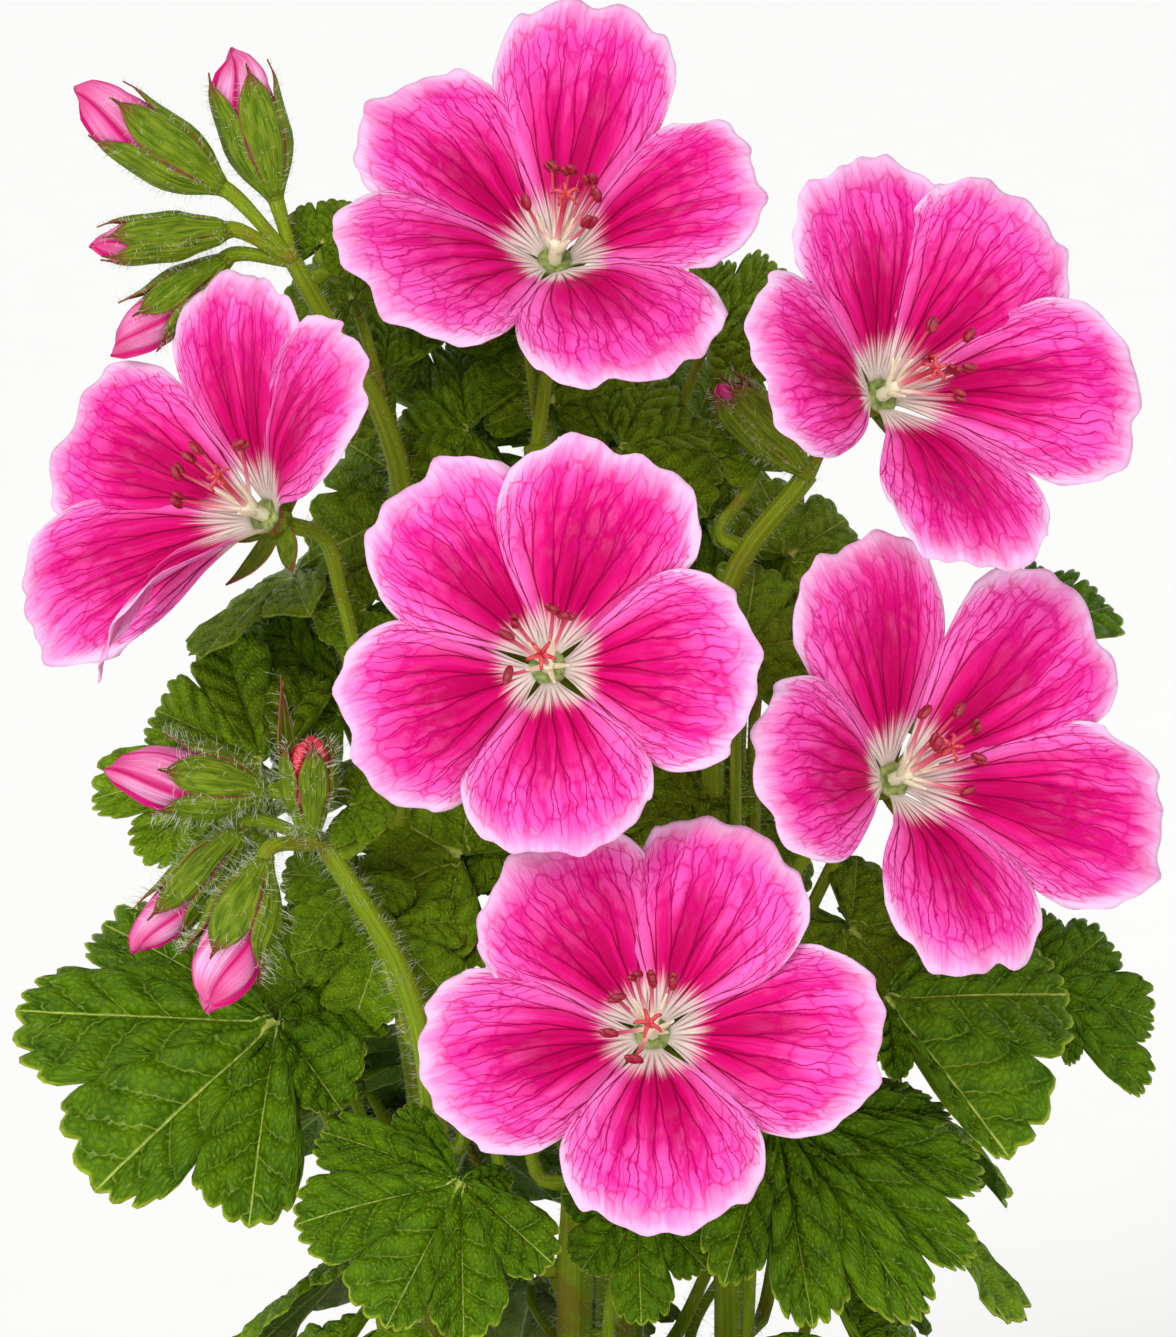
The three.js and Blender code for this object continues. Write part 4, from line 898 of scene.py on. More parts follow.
def leaf_under(s):
    m = s.group(LEAF_MARKS)
    grain = s.noise(s.place(), 2600.0, 3.0)
    base = s.mix(m["Blotch"].between(0.3, 0.7), (84, 116, 34), (104, 134, 46))
    base = s.mix(m["Net"] * 0.4, base, (136, 168, 84))
    base = s.mix(m["Side"] * 0.7, base, (158, 188, 100))
    base = s.mix(m["Main"] * 0.9, base, (172, 196, 116))
    relief = m["Main"] + m["Side"] * 0.7 + m["Net"] * 0.3 - m["Puff"] * 0.2
    normal = s.bump(relief, 0.4, 0.9, s.bump(grain, 0.08, 0.5))
    return {"Base Color": base, "Normal": normal, "Roughness": grain * 0.2 + 0.5}


def stem_face(s):
    around, along = s.growth()
    tone = s.noise(s.place(), 130.0, 3.0)
    streak = s.noise(s.vector(around * 6, along * 2.2, around.floor() * 0.7), 2.4, 3.0)
    grain = s.noise(s.place(), 1900.0, 2.0)
    base = s.mix(streak.between(0.3, 0.75), (102, 128, 8), (142, 162, 34))
    base = s.mix(tone.between(0.5, 0.68) * 0.5, base, (128, 80, 30))
    normal = s.bump(streak * 0.8 + grain * 0.5, 0.14, 0.8)
    return {"Base Color": base, "Normal": normal, "Roughness": grain * 0.2 + 0.42}


def sepal_face(s):
    across, along = s.growth()
    p = ((across - across.floor()) * 2 - 1).abs()
    rib = ((p * 3.0).part() - 0.5).abs().between(0.25, 0.5)
    tone = s.noise(s.vector(across * 4, along * 3, 0.0), 2.0, 3.0)
    fine = s.noise(s.vector(across * 16, along * 2, 0.0), 3.0, 3.0)
    red = p.between(0.86, 1.0) * 0.8 + along.between(0.7, 0.95) * 0.8
    base = s.mix(tone.between(0.3, 0.7), (72, 104, 6), (126, 146, 32))
    base = s.mix(along.fall(0.0, 0.3) * 0.7, base, (128, 158, 22))
    base = s.mix(rib * 0.16, base, (156, 168, 70))
    base = s.mix(fine.between(0.55, 0.75) * 0.3, base, (116, 104, 40))
    base = s.mix(red.least(1.0) * tone.between(0.1, 0.5), base, (150, 72, 56))
    normal = s.bump(rib + fine * 0.8, 0.2, 0.9)
    return {"Base Color": base, "Normal": normal, "Roughness": tone * 0.2 + 0.42}


def hair_face(s):
    tone = s.noise(s.place(), 800.0, 1.0)
    base = s.mix(s.growth()[1], (206, 214, 170), (246, 246, 238))
    return {"Base Color": base, "Roughness": tone * 0.15 + 0.35}


GREEN_BODY = {"Subsurface_Weight": 0.06, "Subsurface_Radius": (0.5, 1.0, 0.2), "Subsurface_Scale": 0.0006,
              "Specular_IOR_Level": 0.08}
UNDER_FINISH = [finish("leaf_underside", leaf_under, **GREEN_BODY),
                finish("leaf_stalk", stem_face, **GREEN_BODY)]
LEAF_FINISH = [finish("leaf_face", leaf_face, **GREEN_BODY)] + UNDER_FINISH
# Painted fill light: the lighter leaf finish goes to the seen leaves of the upper shoots and to every leaf by
# rule.
LEAF_FINISH_WITH_PAINTED_FILL_LIGHT = [finish("leaf_face_with_painted_fill_light", leaf_face_with_painted_fill_light, **GREEN_BODY)] + UNDER_FINISH
SHOOTS_WITH_PAINTED_FILL_LIGHT = ("upper_left", "top")
SHOOT_FINISH = [finish("stem_skin", stem_face, **GREEN_BODY), finish("sepal_skin", sepal_face, **GREEN_BODY)]
HAIR_FINISH = [finish("plant_hair", hair_face, Specular_IOR_Level=0.4)]


# Stems: foot in the soil, route and the radii along it

SOIL_TOP = 89.0
ROOT_DEPTH = 34.0
POT_HEIGHT = 98.0
STEM_STEPS = 300

STEMS = {
    "left": dict(foot=(-20, -12), radii=[3, 2.8, 2.6, 2.4, 1.6, 1.5],
                 route=[(-21, -14, 128), seen(427, 1062, 0), seen(397, 962, 0), seen(360, 900, 1),
                        seen(325, 845, 2)]),
    "upper_left": dict(foot=(-17, 12), radii=[2.9, 2.6, 2.3, 2, 1.7, 1.3],
                       route=[(-22, 12, 140), (-27, 10, 196), seen(404, 500, -14), seen(381, 412, -10),
                              seen(335, 335, -6), seen(294, 262, -3)]),
    "centre": dict(foot=(0, -12), radii=[3, 2.8, 2.5, 2.2],
                   route=[(-2, -13, 130), (-1, -10, 158), (2, -8, 178)]),
    "top": dict(foot=(4, 12), radii=[2.9, 2.6, 2.2, 1.9],
                route=[(3, 14, 150), (-2, 17, 205), seen(537, 446, -16)]),
    "right": dict(foot=(21, -3), radii=[3, 2.7, 2.4, 1.7, 1.5],
                  route=[(21, -2, 130), (19, 2, 176), seen(728, 590, -9), seen(808, 474, -5)]),
    "back": dict(foot=(6, 30), radii=[2.8, 2.5, 2.1, 1.6], route=[(5, 36, 144), (2, 41, 176), (0, 44, 198)]),
}

for one_stem in STEMS.values():
    low = [(*one_stem["foot"], height) for height in (SOIL_TOP - ROOT_DEPTH, SOIL_TOP + 6)]
    one_stem["line"] = curve_through(low + one_stem["route"], STEM_STEPS)


def on_stem(name, share):
    """The place on a stem at a share of its length, with its direction and radius there."""
    stem = STEMS[name]
    line = stem["line"]
    at = share * (len(line) - 1)
    k = min(int(at), len(line) - 2)
    return dict(foot=lerp(line[k], line[k + 1], at - k), stem_way=unit(line[k + 1] - line[k]),
                stem_radius=spread_evenly(stem["radii"], share))


# Leaves

NOTCH = 0.84
BASAL_NOTCH = 0.26
LOBE_SPREAD = {True: (-128, -86, -43, 0, 43, 86, 128), False: (-118, -60, 0, 60, 118)}
LOBE_REACH = {True: (0.74, 0.86, 0.96, 1, 0.96, 0.86, 0.74), False: (0.8, 0.94, 1, 0.94, 0.8)}
LARGE_LEAF = 24
STALK_SEAT = 2.4
STALK_GAP = 0.8
STALK_RADII = [1.2, 0.95, 0.9, 0.85, 0.6]
RULE_FORM = dict(pleat=0.1, dome=0.12)

# Name, stem, share of its length, centre, toward, turn, tilt, tip of the midrib, tips of the other lobes
SEEN_LEAVES = [
    ("leaf_low_left", "left", 0.44, (277, 1022), -7, -6, 34, (92, 1180),
     [(388, 990), (338, 1098), (244, 1208), (92, 1180), (14, 1002), (98, 906)]),
    ("leaf_front_left", "left", 0.33, (461, 1182), 14, -4, 26, (385, 1326),
     [(512, 1172), (552, 1258), (462, 1336), (385, 1326), (292, 1215), (318, 1122), (404, 1102)]),
    ("leaf_front_middle", "centre", 0.5, (636, 1196), 6, 4, 12, (642, 1325),
     [(722, 1190), (708, 1268), (642, 1325), (582, 1270), (562, 1192)]),
    ("leaf_front_right", "right", 0.3, (775, 1112), 6, 8, 26, (925, 1312),
     [(955, 1104), (988, 1172), (972, 1262), (925, 1312), (817, 1320), (730, 1270), (690, 1160)]),
    ("leaf_right", "right", 0.46, (884, 998), -6, 14, 40, (1014, 1146),
     [(1000, 905), (1072, 985), (1014, 1146), (898, 1070), (850, 1050)]),
    ("leaf_far_right", "right", 0.5, (1046, 985), -22, 30, 22, (1152, 1088),
     [(1040, 902), (1112, 930), (1160, 1016), (1152, 1088), (1076, 1062)]),
    ("leaf_tip_right", "right", 0.6, (1010, 640), -26, 28, 50, (1117, 592),
     [(1000, 575), (1058, 554), (1117, 592), (1090, 660), (1010, 700)]),
    ("leaf_mid_left", "upper_left", 0.52, (262, 762), -20, -14, 22, (84, 790),
     [(316, 668), (221, 634), (148, 700), (84, 790), (132, 850), (240, 868)]),
    ("leaf_behind_left", "upper_left", 0.6, (342, 712), -26, -10, 24, (268, 612),
     [(404, 640), (330, 606), (268, 612), (262, 700), (290, 790)]),
    ("leaf_top_left", "upper_left", 0.8, (384, 372), -20, -12, 40, (342, 300),
     [(440, 330), (392, 296), (342, 300), (326, 372), (352, 432)]),
    ("leaf_top_middle", "top", 0.86, (468, 430), -22, -16, 42, (392, 350),
     [(524, 362), (452, 330), (392, 350), (388, 430), (420, 510), (500, 536)]),
    ("leaf_under_top", "top", 0.9, (620, 446), -20, 14, 44, (714, 420),
     [(590, 374), (656, 366), (718, 420), (712, 500), (640, 556), (556, 540)]),
    ("leaf_top_right", "top", 0.76, (705, 345), -29, 20, 40, (778, 252),
     [(665, 280), (718, 246), (778, 252), (786, 330), (760, 392)]),
]

# Stem, share of its length, bearing, distance from the pot's axis, height, size
LEAFY = [
    ("left", 0.2, 206, 58, 128, 27), ("left", 0.26, 154, 56, 156, 24), ("upper_left", 0.24, 142, 62, 128, 29),
    ("upper_left", 0.34, 140, 62, 160, 27), ("upper_left", 0.5, 128, 60, 204, 24),
    ("upper_left", 0.68, 152, 60, 234, 20), ("centre", 0.36, 254, 56, 126, 23),
    ("centre", 0.42, 294, 66, 128, 25),
    ("top", 0.3, 114, 58, 144, 26), ("top", 0.5, 66, 54, 240, 22), ("top", 0.6, 112, 36, 274, 20),
    ("right", 0.2, 336, 60, 128, 26), ("right", 0.26, 2, 62, 150, 29), ("right", 0.36, 30, 62, 180, 27),
    ("right", 0.54, 44, 66, 216, 23), ("back", 0.26, 100, 64, 118, 28), ("back", 0.3, 54, 64, 132, 30),
    ("back", 0.4, 26, 62, 158, 26), ("back", 0.46, 110, 46, 162, 26), ("back", 0.56, 80, 70, 180, 26),
]

# Stem, share, centre, toward, turn, tilt, where the midrib points, size
GLIMPSED = [
    ("upper_left", 0.42, (460, 856), -16, -12, 30, 150, 20),
    ("centre", 0.7, (388, 930), -10, -8, 24, 250, 15),
    ("right", 0.42, (700, 850), -24, 16, 30, 60, 20), ("right", 0.5, (742, 650), -5, 14, 24, 80, 15),
    ("upper_left", 0.7, (436, 500), -24, -16, 34, 200, 20), ("right", 0.7, (790, 556), -16, 24, 30, 40, 14),
]

# Small leaves that fill the shade between the blooms, and the bracts beside the clusters of buds
SHADED = [
    ("upper_left", 0.86, (352, 300), -16, -20, 30, 110, 12), ("top", 0.8, (430, 330), -34, -10, 30, 120, 17),
    ("top", 0.93, (560, 476), -30, 6, 26, 300, 17), ("top", 0.95, (690, 440), -34, 20, 34, 70, 18),
    ("right", 0.72, (700, 520), -26, 10, 26, 150, 17), ("right", 0.62, (752, 604), -22, 20, 30, 20, 15),
    ("right", 0.5, (690, 800), -12, 16, 30, 130, 14), ("centre", 0.8, (470, 900), -14, -16, 30, 170, 13),
    ("right", 0.46, (850, 930), -18, 18, 30, 320, 17), ("upper_left", 0.6, (330, 660), -34, -12, 26, 150, 17),
    ("left", 0.8, (352, 880), -12, -8, 20, 230, 12), ("left", 0.5, (304, 990), -12, -10, 24, 84, 14),
    ("centre", 0.62, (640, 850), -8, 6, 20, 60, 13),
    ("top", 0.7, (520, 560), -26, 0, 24, 200, 18), ("right", 0.44, (620, 770), -26, 8, 26, 240, 17),
    ("left", 0.985, (350, 806), 3, -12, 34, 12, 7.5), ("upper_left", 0.985, (322, 244), -5, -14, 26, 66, 8),
    ("right", 0.93, (764, 446), -7, 18, 22, 112, 9), ("upper_left", 0.66, (366, 610), -12, -14, 24, 200, 8),
    ("top", 0.92, (552, 404), -25, 4, 30, 76, 13), ("top", 0.86, (496, 446), -31, -8, 34, 150, 14),
]
LOW_DROOP = 48.0
HIGH_DROOP = 22.0
LEAFY_HEIGHT = 170.0


def lobes_by_rule(size, seed):
    large = size >= LARGE_LEAF
    return [(math.radians(degrees + 8 * (draw(seed + i) - 0.5)),
             size * LOBE_REACH[large][i] * (0.93 + 0.14 * draw(seed * 1.7 + i)))
            for i, degrees in enumerate(LOBE_SPREAD[large])]


def seen_leaf(entry):
    name, stem, share, at, toward, turn, tilt, middle, tips = entry
    centre, normal = seen(*at, toward), facing(turn, tilt)
    midrib = unit(sight_on_plane(*middle, centre, normal, 0) - centre)
    side = np.cross(normal, midrib)
    arms = [sight_on_plane(px, py, centre, normal, 0) - centre for px, py in tips]
    lobes = sorted((math.atan2(arm @ side, arm @ midrib), float(np.linalg.norm(arm))) for arm in arms)
    return dict(name=name, centre=centre, normal=normal, midrib=midrib, lobes=lobes,
                size=max(reach for angle, reach in lobes), pleat=0.09, dome=0.1, sag=0.06,
                **on_stem(stem, share))


def leaf_by_rule(entry, seed):
    stem, share, bearing, distance, height, size = entry
    a = math.radians(bearing)
    lift = (height - POT_HEIGHT) / LEAFY_HEIGHT
    droop = math.radians(lerp(LOW_DROOP, HIGH_DROOP, lift) + 10 * (draw(seed) - 0.5))
    midrib = np.array([math.cos(a) * math.cos(droop), math.sin(a) * math.cos(droop), -math.sin(droop)])
    normal = np.array([math.cos(a) * math.sin(droop), math.sin(a) * math.sin(droop), math.cos(droop)])
    roll = math.radians(24 * (draw(seed + 0.5) - 0.5))
    normal = normal * math.cos(roll) + np.cross(midrib, normal) * math.sin(roll)
    hub = distance - size * 0.6
    centre = np.array([math.cos(a) * hub, math.sin(a) * hub, height])
    return dict(centre=centre, normal=normal, midrib=midrib, lobes=lobes_by_rule(size, seed), size=size,
                sag=0.08, **RULE_FORM, **on_stem(stem, share))


def glimpsed_leaf(entry, seed):
    stem, share, at, toward, turn, tilt, points, size = entry
    centre, normal = seen(*at, toward), facing(turn, tilt)
    a = math.radians(points)
    ahead = (at[0] + 100 * math.cos(a), at[1] - 100 * math.sin(a))
    midrib = unit(sight_on_plane(*ahead, centre, normal, 0) - centre)
    return dict(centre=centre, normal=normal, midrib=midrib, lobes=lobes_by_rule(size, seed), size=size,
                sag=0.06, **RULE_FORM, **on_stem(stem, share))


# How deep the notches lie beside each tooth of a lobe, from one side of the lobe to the other
TOOTH_NOTCHES = {7: (0.11, 0.03, 0.062, 0.03, 0.03, 0.062, 0.03, 0.11),
                 5: (0.11, 0.04, 0.035, 0.035, 0.04, 0.11)}
# How deep the three places between two notches lie, on a lobe's left half and on its right half
TOOTH_SHAPE = {True: (0.12, -0.06, 0.08), False: (0.08, -0.06, 0.12)}


def leaf_rim(lobes, teeth, luck):
    """Angle, reach, depth of the teeth, p and map place round the blade, four places for each tooth."""
    rows = []
    for i, (angle, reach) in enumerate(lobes):
        before = (angle - lobes[i - 1][0]) / 2 if i else 0
        after = (lobes[i + 1][0] - angle) / 2 if i + 1 < len(lobes) else 0
        left, right = before or after * 1.1, after or before * 1.1
        last = BASAL_NOTCH * reach
        notch_left = NOTCH * min(reach, lobes[i - 1][1]) if i else last
        notch_right = NOTCH * min(reach, lobes[i + 1][1]) if i + 1 < len(lobes) else last
        depths = np.array(TOOTH_NOTCHES[teeth]) * luck.uniform(0.7, 1.35, teeth + 1)
        for k in range(1 if i else 0, 4 * teeth + 1):
            tooth, part = divmod(k, 4)
            p = -1 + k / (2 * teeth)
            depth = depths[tooth]
            if part:
                beside = depth if part == 1 else depths[tooth + 1] if part == 3 else 0.1
                depth = TOOTH_SHAPE[p < 0][part - 1] * beside
            notch, span = (notch_left, left) if p < 0 else (notch_right, right)
            smooth_reach = notch + (reach - notch) * (1 - abs(p) ** 2.4) ** 0.6
            shift = luck.uniform(-0.15, 0.15) / (4 * teeth) if part else 0.0
            rows.append((angle + (p + shift) * span, smooth_reach, depth, p, i + (p + 1) / 2))
    return np.array(rows)


def vein_off(number, p, share):
    """How far a place on the blade lies from the side veins, as the finish draws them."""
    lobe = np.floor(number)
    x = share * np.abs(p) * LOBE_HALF
    q = (share - x * VEIN_LEAN) * VEIN_SPACING + np.mod(lobe * 0.37 + (p > 0) * 0.53, 1)
    return np.abs(np.mod(q, 1) - 0.5) / VEIN_SPACING, x


def leaf_blade(work, leaf, number, teeth, rings):
    luck = np.random.default_rng(number)
    rim = leaf_rim(leaf["lobes"], teeth, luck)
    angle, reach, depth, p, place = rim.T
    share = (np.linspace(0, 1, rings + 1)[1:] ** 0.85)[:, None]
    u = np.minimum(number * 10 + place, number * 10 + len(leaf["lobes"]) - 1e-3)[None, :] + 0 * share
    size = leaf["size"]
    bowl = leaf["pleat"] * share ** 1.3 * (1 - np.cos(math.pi * p)) / 2 - leaf["dome"] * share ** 2
    off, x = vein_off(u, p[None, :], share)
    puff = smooth(0, 0.06, off) * smooth(0.004, 0.05, x) * smooth(0.1, 0.3, share) * smooth(1.02, 0.9, share)
    groove = np.exp(-(x / 0.02) ** 2) * smooth(0.0, 0.2, share) * (1 - 0.6 * share)
    phase = luck.uniform(0, 6.28, 5)
    wave = (waves(angle, (0.03, 3, phase[0])) * share ** 2 + waves(angle, (0.02, 2, phase[3])) * share ** 3
            + waves(angle, (0.024, 9, phase[1])) * share ** 4
            + waves(angle, (0.014, 19, phase[2])) * share ** 6)
    curl = 0.15 * smooth(0.86, 1.0, share) * np.maximum(depth, 0)
    height = size * (bowl + 0.036 * puff - 0.02 * groove + wave - curl)
    r = reach[None, :] * share * (1 - depth[None, :] * smooth(0.66, 1.0, share))
    side = np.cross(leaf["normal"], leaf["midrib"])
    points = leaf["centre"] + spoke(leaf["midrib"], side, angle) * r[..., None]
    points = points + leaf["normal"] * height[..., None]
    rows, columns = height.shape
    places = np.concatenate([points.reshape(-1, 3), [leaf["centre"]]])
    maps = np.concatenate([np.stack([u, np.broadcast_to(share, u.shape)], 2).reshape(-1, 2),
                           [[number * 10 + len(leaf["lobes"]) / 2, 0.0]]])
    hub = rows * columns
    k = np.arange(columns - 1)
    fan = np.stack([np.full(columns - 1, hub), k, k + 1], 1)
    thickness = np.concatenate([np.broadcast_to(lerp(0.42, 0.2, share), u.shape).ravel(), [0.45]])
    thin(work, places, [grid_faces(rows, columns)[:, ::-1], fan], maps, thickness)


def leaf_stalk(work, leaf, sides, hairs):
    reach = leaf["centre"] - leaf["foot"]
    outward = unit(reach - leaf["stem_way"] * (reach @ leaf["stem_way"]))
    start = leaf["foot"] + outward * leaf["stem_radius"] * 0.7
    end = leaf["centre"] + leaf["midrib"] * STALK_SEAT - leaf["normal"] * leaf["dome"] * STALK_SEAT
    under = end - leaf["normal"] * leaf["size"] * 0.14 - leaf["midrib"] * leaf["size"] * 0.08
    middle = (start + under) / 2 + UP * leaf["sag"] * np.linalg.norm(reach)
    route = [start, leaf["foot"] + outward * (leaf["stem_radius"] + STALK_GAP + 2.5), middle, under, end]
    line = tube(work, curve_through(route, 26), STALK_RADII, sides, 2, 0.05, 3, draw(reach[0]))
    hairs.append((line, 1.0))


def dressed_leaf(work, leaf, number, fine, hairs):
    leaf_blade(work, leaf, number, 7 if fine else 5, 16 if fine else 9 if leaf["size"] > 20 else 7)
    leaf_stalk(work, leaf, 10 if fine else 7, hairs)


HAIRY = {name: [] for name in STEMS}
RULE_LEAVES = ((LEAFY, leaf_by_rule, 20), (GLIMPSED, glimpsed_leaf, 60), (SHADED, glimpsed_leaf, 80))
for k, entry in enumerate(SEEN_LEAVES):
    made = Patchwork()
    dressed_leaf(made, seen_leaf(entry), k + 1, True, HAIRY[entry[1]])
    skin = LEAF_FINISH_WITH_PAINTED_FILL_LIGHT if entry[1] in SHOOTS_WITH_PAINTED_FILL_LIGHT else LEAF_FINISH
    made.make(entry[0], skin, "leaf_green", entry[0])
for name in STEMS:
    made = Patchwork()
    for table, placed, first in RULE_LEAVES:
        for k, entry in enumerate(table, first):
            if entry[0] == name:
                dressed_leaf(made, placed(entry, k), k, False, HAIRY[name])
    if made.points:
        made.make("leaves_on_shoot_" + name, LEAF_FINISH_WITH_PAINTED_FILL_LIGHT, "leaf_green", "shoot_" + name)


# Stems with their stalks, calyxes and buds

KNOT_RISE = 0.28
KNOT_LENGTH = 9
RECEPTACLE = [(-4.8, 1.15), (-4.2, 1.3), (-3.4, 1.9), (-2.6, 2.3), (-1.8, 2.35), (-1.0, 2.1), (-0.5, 1.7)]
FLOWER_SEPALS = [(1.9, -2.9, 2.6), (3.2, -2.5, 3.4), (5.4, -2.2, 3.7), (7.8, -1.4, 2.9), (9.6, -0.5, 1.5),
                 (11.2, 0.5, 0.2)]


def stem_body(work, name):
    stem = STEMS[name]
    line = stem["line"][::6]
    at = np.linspace(0, 1, len(line))
    radii = spread_evenly(stem["radii"], at)
    knots = [entry[1] for entry in LEAFY + GLIMPSED if entry[0] == name]
    knots += [entry[2] for entry in SEEN_LEAVES if entry[1] == name]
    for knot in knots:
        radii = radii + KNOT_RISE * np.exp(-((at - knot) * STEM_STEPS / KNOT_LENGTH) ** 2)
    HAIRY[name].append((tube(work, line, radii, 16, 0, 0.035, 5, len(name)), 1.0))


def sepals(work, piece, bearings, stations, number, long=None):
    """Ribbed sepals: each station gives distance from the axis, height along it and width."""
    t = np.linspace(0, 1, 15)
    line = curve_through(np.array(stations), 14)
    w = np.linspace(-1, 1, 11)
    for k, bearing in enumerate(bearings):
        luck = np.random.default_rng(number * 10 + k)
        distance, height, width = line[:, 0], line[:, 1], np.maximum(line[:, 2], 0.12)
        if k == long:
            height, distance = height + 9 * t ** 2.4, distance + 1.2 * t ** 4
            width = np.maximum(width, 5.2 * (1 - t) ** 1.1 * smooth(0.0, 0.3, t) + 0.14)
        lean = luck.uniform(-0.12, 0.12)
        rib = 0.10 * np.cos(w * 3 * math.pi)
        arc = np.clip(width / 2 / np.maximum(distance, 1.0), 0, 0.68)
        a = bearing + lean * t[:, None] ** 2 + arc[:, None] * w[None, :]
        far = distance[:, None] + rib[None, :] * np.minimum(width, 2)[:, None] / 2
        rise = height[:, None] + luck.uniform(-0.3, 0.3) * t[:, None] + 0 * w
        points = piece["throat"] + outward(piece, a) * far[..., None] + piece["axis"] * rise[..., None]
        uv = np.stack(np.broadcast_arrays(number * 5 + k + (w[None, :] + 1) / 2 * 0.99, t[:, None]), 2)
        sheet(work, points, uv, 0.34 - 0.14 * t[:, None] + 0 * w, 1, 1)
        yield points


def receptacle(work, piece, stations, sides):
    """The swelling under a calyx, by height and radius."""
    line = [up_the_axis(piece, height) for height, radius in stations]
    tube(work, line, [radius for height, radius in stations], sides, 1, 0.05, 5)


def flower_stalk(work, flower, number):
    start = on_stem(flower["stem"], flower["start"])["foot"]
    way = [start] + ([seen(*flower["knee"])] if "knee" in flower else [])
    way += [up_the_axis(flower, height) for height in (-12, -4)]
    line = tube(work, curve_through(way, 36), [1.1, 0.95, 1.0, 1.25], 12, 0, 0.04, seed=number)
    HAIRY[flower["stem"]].append((line, 1.0))
    receptacle(work, flower, RECEPTACLE, 20)
    bearings = sorted(petal["bearing"] + math.pi / 5 for petal in flower["petals"])
    for points in sepals(work, flower, bearings, FLOWER_SEPALS, number):
        HAIRY_SHEETS[flower["stem"]].append((points, flower["axis"] * -1))


# Base and tip in pixels, their places toward the viewer, width, how far the sepals reach, how they stand off
BUDS = [
    ("bud_high_left", "upper_left", (216, 184), (76, 94), (0, 2), 8.6, 0.74, 0.6),
    ("bud_high_right", "upper_left", (272, 188), (230, 52), (-3, -3), 8.4, 0.8, 1.0),
    ("bud_high_green", "upper_left", (214, 232), (93, 245), (0, 3), 5.6, 0.86, 0.0),
    ("bud_high_low", "upper_left", (216, 268), (112, 351), (-3, -2), 6.8, 0.66, 0.6),
    ("bud_mid_left", "left", (259, 790), (109, 770), (5, 7), 8.6, 0.62, 1.0),
    ("bud_mid_upright", "left", (309, 816), (307, 738), (6, 8), 6.4, 0.9, 0.8),
    ("bud_mid_low", "left", (236, 836), (136, 952), (2, 4), 6.6, 0.72, 0.4),
    ("bud_mid_front", "left", (262, 868), (208, 1008), (10, 14), 9.0, 0.66, 1.0),
    ("bud_upper_right", "right", (792, 458), (722, 384), (-3, -1), 6.4, 0.94, 0.2),
]
UPRIGHT_BUD = "bud_mid_upright"
BUD_FLOOR = 0.13
BUD_TWIST = 1.5
BUD_SCALE = 8.6
SKIN = 0.5
# Share of the sepals' run, how far they stand off there, with the flare's share in it, and how wide they are
SEPAL_RUN = [(0.25, 0.3, 0.0, 1.34), (0.5, 0.2, 0.2, 1.5), (0.72, 0.2, 0.3, 1.25), (0.9, 0.3, 0.6, 0.62),
             (1.02, 0.5, 1.0, 0.08), (1.12, 0.8, 1.4, 0.02)]


def bud_swell(width, share):
    """How much fuller a bud is toward its folded mouth."""
    return 1.5 * smooth(0.45, 0.8, share) * width / BUD_SCALE


def bud_radius(width, share):
    return width / 2 * np.maximum(np.sin(math.pi * np.power(share, 0.72)), 0) ** 0.85


def bud_face(s):
    across, along = s.growth()
    petal = across.floor()
    u = across - petal
    silk = s.noise(s.vector(u * 9, along * 1.4, petal * 2.7), 1.6, 3.0, 0.6)
    fine = s.noise(s.vector(u * 40, along * 2.0, petal * 1.3), 1.2, 2.0)
    base = s.mix(silk.between(0.35, 0.7), (232, 128, 186), (240, 182, 218))
    base = s.mix(s.chance(s.vector(petal, 3.0, 1.0)).between(0.3, 0.7) * 0.42, base, (214, 10, 122))
    base = s.mix(fine.between(0.52, 0.78) * 0.5, base, (200, 40, 128))
    base = s.mix(u.between(0.76, 0.96) * 0.95, base, (204, 0, 110))
    base = s.mix(u.fall(0.0, 0.2) * 0.7, base, (184, 0, 90))
    base = s.mix(along.between(0.78, 0.96) * 0.6, base, (200, 0, 100))
    base = s.mix(along.fall(0.1, 0.34) * 0.6, base, (220, 214, 186))
    normal = s.bump(silk * 0.7 + fine * 0.6, 0.10, 0.8)
    return {"Base Color": base, "Normal": normal, "Roughness": fine * 0.15 + 0.36}


def red_bud_face(s):
    made = bud_face(s)
    made["Base Color"] = s.mix(1.0, made["Base Color"], (255, 186, 150), "MULTIPLY")
    return made


BUD_FINISH = [finish("bud_petal", bud_face, **PETAL_BODY),
              finish("young_bud_petal", red_bud_face, **PETAL_BODY)]


